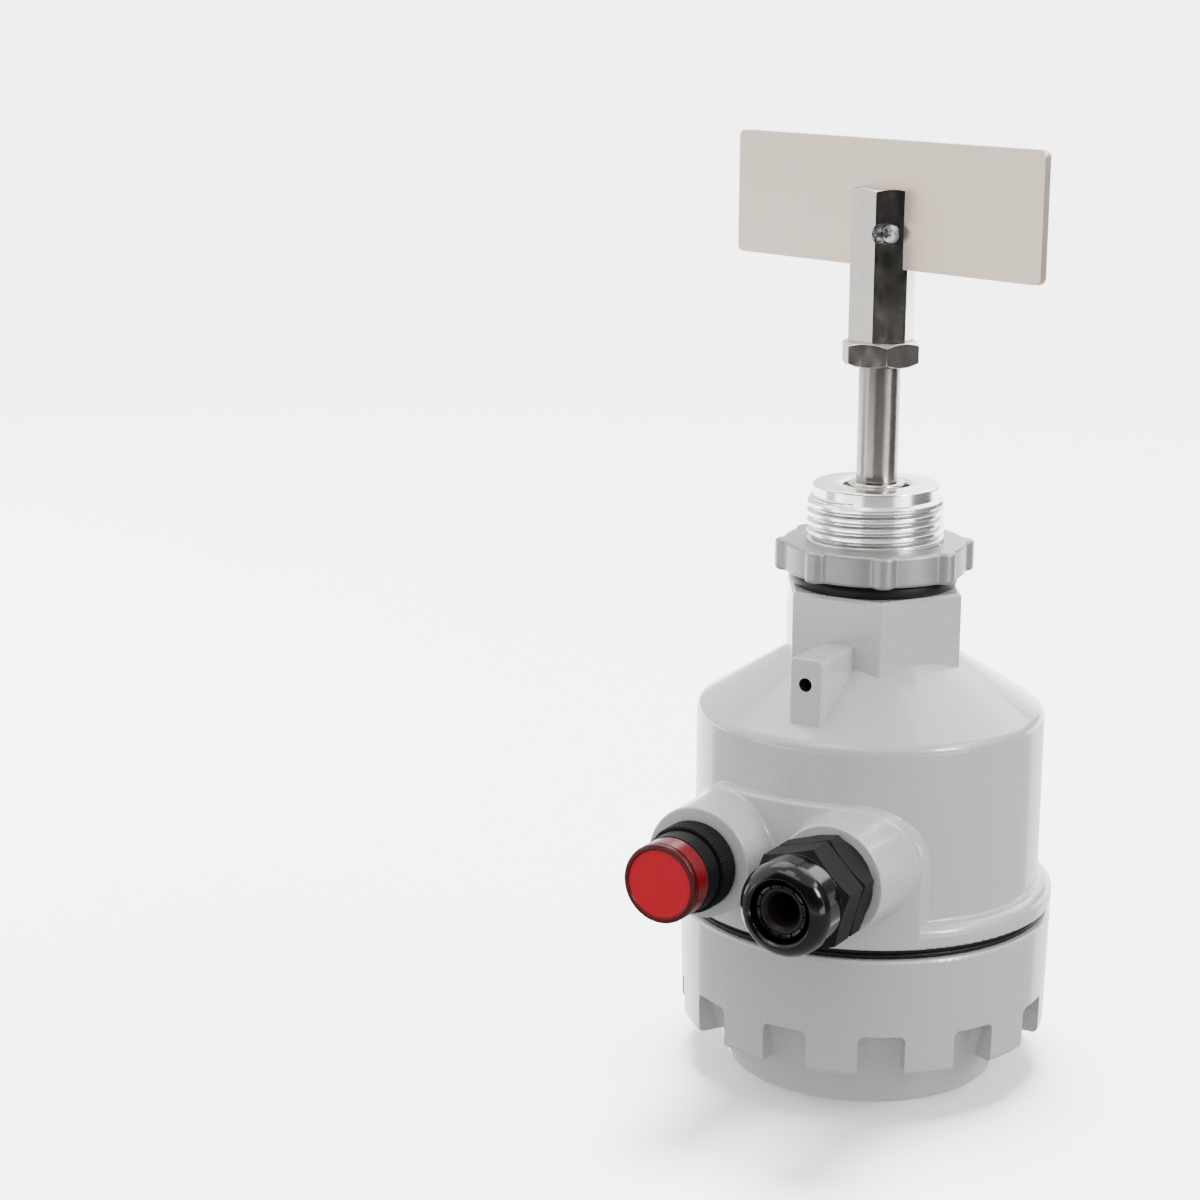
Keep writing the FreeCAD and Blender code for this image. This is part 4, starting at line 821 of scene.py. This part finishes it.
@dataclass
class CableGland:
    """Nylon gland with a dome nut and the clamping fingers in its mouth.

    Attributes:
        edge: how far the nylon's edges are broken.
        dome_reach: radius within which the nut is polished.
        lip, funnel: width and depth of the slope at the sleeve's end.
        lip_round: roundness of its edges.
        bore_margin: faces as near to the bore as this are brown.
        fingers, finger_gap: number of fingers, and the gap between two of them.
        finger_reach: how far they pass the seal's node.
        finger_depth, finger_slope: length and lean of a finger's sloping end.
        shoulder_round, tip_round, inner_round: roundness of its corners.
        tip_drop: how far its inner tip stands back.
        finger_steps, finger_corner: faces along its arc and round each corner.
    """

    edge: float = 0.2 * MM
    dome_reach: float = 11.2 * MM
    lip: float = 0.8 * MM
    lip_round: float = 0.3 * MM
    funnel: float = 0.9 * MM
    bore_margin: float = 0.2 * MM
    fingers: int = 12
    finger_gap: float = 0.5 * MM
    finger_reach: float = 1.7 * MM
    finger_depth: float = 1.5 * MM
    finger_slope: float = 0.9 * MM
    shoulder_round: float = 0.8 * MM
    tip_round: float = 0.3 * MM
    tip_drop: float = 0.4 * MM
    inner_round: float = 0.1 * MM
    finger_steps: int = 6
    finger_corner: int = 3

    def build(self) -> None:
        """Makes the gland's pieces."""
        refine("gland_body", "housing", MOULDED_NYLON, self.edge)
        self.build_dome_nut()
        refine("gland_washer", "housing", PRESSED_RUBBER)
        self.build_core()
        self.build_fingers()

    def build_dome_nut(self) -> None:
        """Makes the dome nut, with a polished dome on matte flats."""
        bm = softened(merged_copy("gland_nut"), self.edge)
        lay = Entry.GLAND.placing().inverted()
        for face in bm.faces:
            middle = lay @ face.calc_center_median()
            if math.hypot(middle.x, middle.y) < self.dome_reach:
                face.material_index = 1
        place_piece(
            bm, "gland_nut_skin", "gland_nut", [MOULDED_NYLON, POLISHED_NYLON], ["gland_nut"])

    def build_core(self) -> None:
        """Makes the rubber sleeve that the cable passes through."""
        near, end, outer = span("gland_seal")
        inner = self.bore()
        wall = (outer + inner) / 2
        front = end + self.finger_reach - self.finger_depth / 3
        bm = spun([
            (inner, near), (wall, near), (wall, front, self.lip_round),
            (inner + self.lip, front, self.lip_round),
            (inner, front - self.funnel, self.lip_round)], COARSE)
        for face in bm.faces:
            middle = face.calc_center_median()
            if math.hypot(middle.x, middle.y) < inner + self.bore_margin:
                face.material_index = 1
        bm.transform(Entry.GLAND.placing())
        place_piece(
            bm, "gland_seal_core", "gland_seal", [PRESSED_RUBBER, BROWN_RUBBER],
            ["gland_seal"])

    def build_fingers(self) -> None:
        """Makes the ring of fingers that press the sleeve on the cable."""
        near, end, outer = span("gland_seal")
        far = end + self.finger_reach
        wall = (outer + self.bore()) / 2
        share = TURN / self.fingers
        sweep = share - self.finger_gap / outer
        bm = bmesh.new()
        for index in range(self.fingers):
            corners = rounded([
                (wall, near), (outer, near),
                (outer, far - self.finger_depth, self.shoulder_round),
                (outer - self.finger_slope, far, self.tip_round),
                (wall, far - self.tip_drop, self.inner_round)], self.finger_corner)
            verts = [bm.verts.new(place) for place in corners]
            edges = [bm.edges.new(pair) for pair in zip(verts, verts[1:] + verts[:1])]
            turn = Matrix.Rotation(share * index, 3, "Z")
            bmesh.ops.rotate(bm, verts=verts, cent=ORIGIN, matrix=turn)
            bmesh.ops.spin(
                bm, geom=verts + edges, cent=ORIGIN, axis=Z_AXIS, angle=sweep,
                steps=self.finger_steps)
        bmesh.ops.holes_fill(bm, edges=[e for e in bm.edges if e.is_boundary], sides=0)
        bmesh.ops.recalc_face_normals(bm, faces=bm.faces)
        bm.transform(Entry.GLAND.placing())
        place_piece(
            bm, "gland_seal_fingers", "gland_seal", [POLISHED_NYLON], ["gland_seal"])

    @staticmethod
    def bore() -> float:
        """Radius of the hole for the cable."""
        return bore_radius("gland_seal", Entry.GLAND.placing().inverted())


@dataclass
class AlarmLamp:
    """Panel lamp with a knurled ring and a red lens.

    Attributes:
        ring_bore: radius of the ring's bore.
        ring_foot, ring_lip: roundness of its edge on the boss and of its outer edge.
        ridges, ridge, ridge_faces: number, depth and faces of the knurl's ridges.
        knurl_band: how deep the knurl is felt.
        rim, rim_round: width and roundness of the rolled edge round the lens's face.
        flange: length of the lens's flange.
        groove, groove_depth: width and depth of the groove behind it.
        groove_slope: how far its walls lean.
        foot_round: roundness of the lens's foot.
        dish: how far the flat face stands back.
        dish_slope, dish_round: half the width of the slope down to it, and its roundness.
        plate: depth of the face's back.
        face_margin: how far the rim's painted shade reaches inwards.
        wall_margin: how far it reaches past the groove.
    """

    ring_bore: float = 7.9 * MM
    ring_foot: float = 0.4 * MM
    ring_lip: float = 0.5 * MM
    ridges: int = 84
    ridge: float = 0.28 * MM
    ridge_faces: int = 4
    knurl_band: float = 0.3 * MM
    rim: float = 1.3 * MM
    rim_round: float = 0.7 * MM
    flange: float = 1.3 * MM
    groove: float = 0.5 * MM
    groove_depth: float = 0.3 * MM
    groove_slope: float = 0.1 * MM
    foot_round: float = 0.2 * MM
    dish: float = 0.35 * MM
    dish_slope: float = 0.1 * MM
    dish_round: float = 0.2 * MM
    plate: float = 1.6 * MM
    face_margin: float = 0.2 * MM
    wall_margin: float = 0.05 * MM

    def build(self) -> None:
        """Makes the lamp's visible pieces."""
        refine("lamp_body", "housing", MOULDED_NYLON)
        refine("lamp_washer", "housing", PRESSED_RUBBER)
        self.build_ring()
        self.build_lens()

    def build_ring(self) -> None:
        """Makes the ring with its straight knurl."""
        near, far, outer = span("lamp_ring")
        bm = spun([
            (self.ring_bore, near), (outer, near, self.ring_foot),
            (outer, far, self.ring_lip), (self.ring_bore, far)],
            steps=self.ridges * self.ridge_faces)
        for vert in bm.verts:
            radius = math.hypot(vert.co.x, vert.co.y)
            angle = math.atan2(vert.co.y, vert.co.x)
            if radius > outer - self.knurl_band:
                share = (1 + math.cos(angle * self.ridges)) / 2
                scale = (radius - self.ridge * share) / radius
                vert.co.x *= scale
                vert.co.y *= scale
        bm.transform(Entry.LAMP.placing())
        place_piece(
            bm, "lamp_ring_knurled", "housing", [MOULDED_NYLON], ["lamp_ring"],
            RIDGED_CRISP_DEG)

    def build_lens(self) -> None:
        """Makes the lens cap, with painted shade on the rolled edge round its flat face and on its
        wall.
        """
        near, far, outer = span("lamp_lens")
        inner = outer - self.rim
        back = far - self.flange
        front = back - self.groove
        floor = outer - self.groove_depth
        bm = spun([
            (inner, near), (outer, near, self.foot_round), (outer, front),
            (floor, front + self.groove_slope), (floor, back - self.groove_slope),
            (outer, back), (outer, far, self.rim_round),
            (inner + self.dish_slope, far, self.dish_round),
            (inner - self.dish_slope, far - self.dish), (0, far - self.dish),
            (0, far - self.plate), (inner, far - self.plate)])
        # Painted shade: the rim takes the darker red, the wall behind the groove the shaded red.
        for face in bm.faces:
            middle = face.calc_center_median()
            if math.hypot(middle.x, middle.y) > inner - self.face_margin:
                face.material_index = 1 if middle.z > front - self.wall_margin else 2
        bm.transform(Entry.LAMP.placing())
        place_piece(
            bm, "lamp_lens_cap", "housing",
            [RED_POLYCARBONATE, RIM_SHADE_POLYCARBONATE, SHADED_POLYCARBONATE], ["lamp_lens"])


@dataclass
class Mechanism:
    """The pieces inside the housing, shown as their own solids."""

    finishes: tuple[tuple[str, Finish], ...] = (
        ("zinc_steel", ZINC_PLATE), ("spring_steel", SPRING_STEEL), ("bronze", SINTERED_BRONZE),
        ("black_rubber", PRESSED_RUBBER), ("lamp_black", MOULDED_NYLON), ("led_red", TINTED_EPOXY),
        ("laminate", PAPER_LAMINATE), ("terminal_plastic", MOULDED_THERMOSET),
        ("switch_plastic", MOULDED_NYLON), ("stainless", SATIN_STAINLESS))

    def build(self) -> None:
        """Gives each inner node the finish of its slot."""
        by_slot = dict(self.finishes)
        stood_for = {n for o in bpy.context.scene.objects for n in o.get("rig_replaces", [])}
        for row in frame["record"]["subparts"]:
            if row["node"] in stood_for:
                continue
            mesh = frame["nodes"][row["node"]].data
            mesh.materials.clear()
            mesh.materials.append(by_slot[row["material_slot"]].material())
            log.info("%s keeps its solid", row["node"])


@dataclass(frozen=True)
class Card:
    """A curved card that stands round the object and is seen only in its gloss.

    Attributes:
        name: the card's name.
        start_deg, end_deg: angles of its ends, from the camera's side.
        low, high: heights of its foot and head.
        radius: distance from the Z axis.
        strength: its brightness; a dim card hides a bright one behind it.
        steps: flats in its curve.
    """

    name: str
    start_deg: float
    end_deg: float
    low: float
    high: float
    radius: float
    strength: float
    steps: int = 24

    def build(self, camera_azimuth: float) -> None:
        """Stands the card up.

        Args:
            camera_azimuth: the camera's angle round Z, from -Y.
        """
        start = math.radians(self.start_deg) + camera_azimuth - math.pi / 2
        sweep = math.radians(self.end_deg - self.start_deg)
        bm = bmesh.new()
        foot, head = (
            bm.verts.new((self.radius * math.cos(start), self.radius * math.sin(start), height))
            for height in (self.low, self.high))
        edge = bm.edges.new((foot, head))
        bmesh.ops.spin(
            bm, geom=[foot, head, edge], cent=ORIGIN, axis=Z_AXIS, angle=sweep,
            steps=self.steps)
        card = to_object(bm, self.name)
        card.data.materials.append(self.glow())
        for ray in ("camera", "diffuse", "transmission", "shadow"):
            setattr(card, "visible_" + ray, False)

    def glow(self) -> bpy.types.Material:
        """Makes the card's even glow, with no gloss of its own."""
        made = bpy.data.materials.new(self.name)
        made.use_nodes = True
        shader = made.node_tree.nodes["Principled BSDF"]
        shader.inputs["Base Color"].default_value = linear("#000000")
        shader.inputs["Specular IOR Level"].default_value = 0.0
        shader.inputs["Emission Color"].default_value = linear("#FFFFFF")
        shader.inputs["Emission Strength"].default_value = self.strength
        return made


@dataclass(frozen=True)
class SoftBox:
    """A square area light.

    Attributes:
        name: the light's name.
        place: where it hangs.
        size: length of its side.
        power: its power in watts.
    """

    name: str
    place: Triple
    size: float
    power: float

    def build(self, aim: Point) -> None:
        """Hangs the light up.

        Args:
            aim: the point that it looks at.
        """
        lamp = bpy.data.lights.new(self.name, "AREA")
        lamp.shape = "SQUARE"
        lamp.size = self.size
        lamp.energy = self.power
        light = bpy.data.objects.new(self.name, lamp)
        light.location = self.place
        ray = Vector(aim) - Vector(self.place)
        light.rotation_mode = "QUATERNION"
        light.rotation_quaternion = ray.to_track_quat("-Z", "Y")
        bpy.context.scene.collection.objects.link(light)


@dataclass
class Studio:
    """Pale floor, soft lights, cards for the gloss and the photograph's camera.

    Attributes:
        azimuth, distance, height: the camera's place round the Z axis, from -Y.
        pitch, yaw, roll: how far it looks down, looks right and rolls anticlockwise.
        lens_mm, sensor_mm, far_clip: its focal length, its sensor and how far it sees.
        floor_size: the floor's width.
        sky, ground: strengths above and below the horizon.
        horizon: half the band where the two blend.
        backdrop: strength of what the camera sees.
        wash, wash_angle, wash_aim: strength, width and direction of the floor's own sun.
        aim: point that the area lights look at.
        lights, cards: the area lights and the cards.
    """

    azimuth: float = math.radians(25.0)
    distance: float = 634.4 * MM
    height: float = 264.5 * MM
    pitch: float = 0.22984
    yaw: float = -0.10535
    roll: float = 0.00579
    lens_mm: float = 79.52
    sensor_mm: float = 36.0
    far_clip: float = 200.0
    floor_size: float = 80.0
    sky: float = 1.5
    ground: float = 0.75
    horizon: float = 0.15
    backdrop: float = 5.4
    wash: float = 14.0
    wash_angle: float = math.radians(26.0)
    wash_aim: Triple = (0.08, -0.14, -1.0)
    aim: Triple = (0, 0, 0.11)
    lights: tuple[SoftBox, ...] = (
        SoftBox("key", (0.78, 0.16, 0.60), 0.45, 7.2),
        SoftBox("fill", (-0.85, 0.05, 0.45), 0.60, 8.0),
        SoftBox("top", (-0.10, -0.40, 0.95), 0.30, 1.2),
    )
    cards: tuple[Card, ...] = (
        Card("bright_cove", -180, 180, -0.02, 0.60, 0.60, 6.0, 96),
        Card("soft_left", -180, -42, 0.085, 0.60, 0.55, 1.8),
        Card("bright_back_left", -180, -122, -0.30, -0.02, 0.60, 4.5),
        Card("bright_back_right", 130, 180, -0.30, -0.02, 0.60, 3.0),
        Card("soft_front_low", -24, 34, -0.02, 0.032, 0.50, 1.6),
        Card("dark_front_low", -24, 34, 0.032, 0.065, 0.50, 0.50),
        Card("soft_back", 150, 210, 0.20, 0.31, 0.58, 3.8),
        Card("dark_front_mid", -62, 46, 0.065, 0.095, 0.50, 0.36),
        Card("dark_front_nut", -62, 60, 0.095, 0.13, 0.50, 0.08),
        Card("dark_front_high", -62, 62, 0.13, 0.50, 0.50, 0.015),
        Card("dark_end", 118, 150, 0.13, 0.30, 0.50, 0.5),
        Card("dark_right", 64, 118, -0.02, 0.50, 0.50, 0.14),
        Card("dark_left_low", -100, -76, -0.02, 0.085, 0.50, 0.9),
        Card("bright_above", -75, -5, 0.62, 0.80, 0.50, 5.0),
        Card("bright_behind_high", 110, 250, 0.60, 1.80, 0.60, 5.0),
        Card("bright_slot", 46, 60, 0.27, 0.45, 0.48, 40.0),
    )

    def build(self) -> None:
        """Makes the floor, sky, lights, cards and camera."""
        self.build_floor()
        self.build_sky()
        for light in self.lights:
            light.build(self.aim)
        for card in self.cards:
            card.build(self.azimuth)
        self.build_camera()

    def build_floor(self) -> None:
        """Lays a floor that runs past the frame's edges."""
        bm = bmesh.new()
        bmesh.ops.create_grid(bm, x_segments=1, y_segments=1, size=self.floor_size / 2)
        floor = to_object(bm, "floor")
        floor.data.materials.append(STUDIO_FLOOR.material())
        floor.visible_diffuse = False
        floor.visible_glossy = False
        self.build_wash(floor)

    def build_wash(self, floor: bpy.types.Object) -> None:
        """Washes the floor alone with a wide sun, for a soft shadow at the foot.

        Args:
            floor: the floor.
        """
        lit = bpy.data.collections.new("washed")
        lit.objects.link(floor)
        lamp = bpy.data.lights.new("wash", "SUN")
        lamp.energy = self.wash
        lamp.angle = self.wash_angle
        light = bpy.data.objects.new("wash", lamp)
        light.rotation_mode = "QUATERNION"
        light.rotation_quaternion = Vector(self.wash_aim).to_track_quat("-Z", "Y")
        light.light_linking.receiver_collection = lit
        bpy.context.scene.collection.objects.link(light)

    def build_sky(self) -> None:
        """Surrounds the object with a bright, even sky over a dimmer ground.

        The camera sees an even backdrop in its place, so that the floor has no horizon.
        """
        world = bpy.data.worlds.new("studio")
        world.use_nodes = True
        bpy.context.scene.world = world
        tree = world.node_tree
        place = add_node(tree, "ShaderNodeTexCoord")
        parts = add_node(
            tree, "ShaderNodeSeparateXYZ", links={"Vector": place.outputs["Generated"]})
        level = add_node(
            tree, "ShaderNodeMapRange",
            values={"From Min": -self.horizon, "From Max": self.horizon,
                    "To Min": self.ground, "To Max": self.sky},
            links={"Value": parts.outputs["Z"]})
        path = add_node(tree, "ShaderNodeLightPath")
        seen = add_node(
            tree, "ShaderNodeMix", values={MIX_LEVEL_B: self.backdrop},
            links={
                MIX_FACTOR: path.outputs["Is Camera Ray"],
                MIX_LEVEL_A: level.outputs["Result"],
            })
        background = tree.nodes["Background"]
        background.inputs["Color"].default_value = (1, 1, 1, 1)
        tree.links.new(seen.outputs[MIX_LEVEL_OUT], background.inputs["Strength"])

    def build_camera(self) -> None:
        """Places the camera where the photograph was taken from."""
        turn = Matrix.Rotation(self.azimuth, 3, "Z")
        ahead = turn @ Vector((
            math.sin(self.yaw) * math.cos(self.pitch),
            math.cos(self.yaw) * math.cos(self.pitch),
            -math.sin(self.pitch)))
        right = ahead.cross(Vector(Z_AXIS)).normalized()
        upward = right.cross(ahead)
        level = math.cos(self.roll)
        tilt = math.sin(self.roll)
        across = right * level + upward * tilt
        up = upward * level - right * tilt
        lens = bpy.data.cameras.new("camera")
        lens.lens = self.lens_mm
        lens.sensor_width = self.sensor_mm
        lens.clip_end = self.far_clip
        camera = bpy.data.objects.new("camera", lens)
        spot = turn @ Vector((0, -self.distance, self.height))
        rows = Matrix((across, up, -ahead)).transposed().to_4x4()
        camera.matrix_world = Matrix.Translation(spot) @ rows
        bpy.context.scene.collection.objects.link(camera)
        bpy.context.scene.camera = camera


def main() -> None:
    """Builds the studio and dresses the frame."""
    logging.basicConfig(level=logging.INFO)
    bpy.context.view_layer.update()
    Studio().build()
    Casting().build()
    ProcessConnection().build()
    Paddle().build()
    CableGland().build()
    AlarmLamp().build()
    Mechanism().build()
    bpy.context.view_layer.update()


if __name__ == "__main__":
    main()
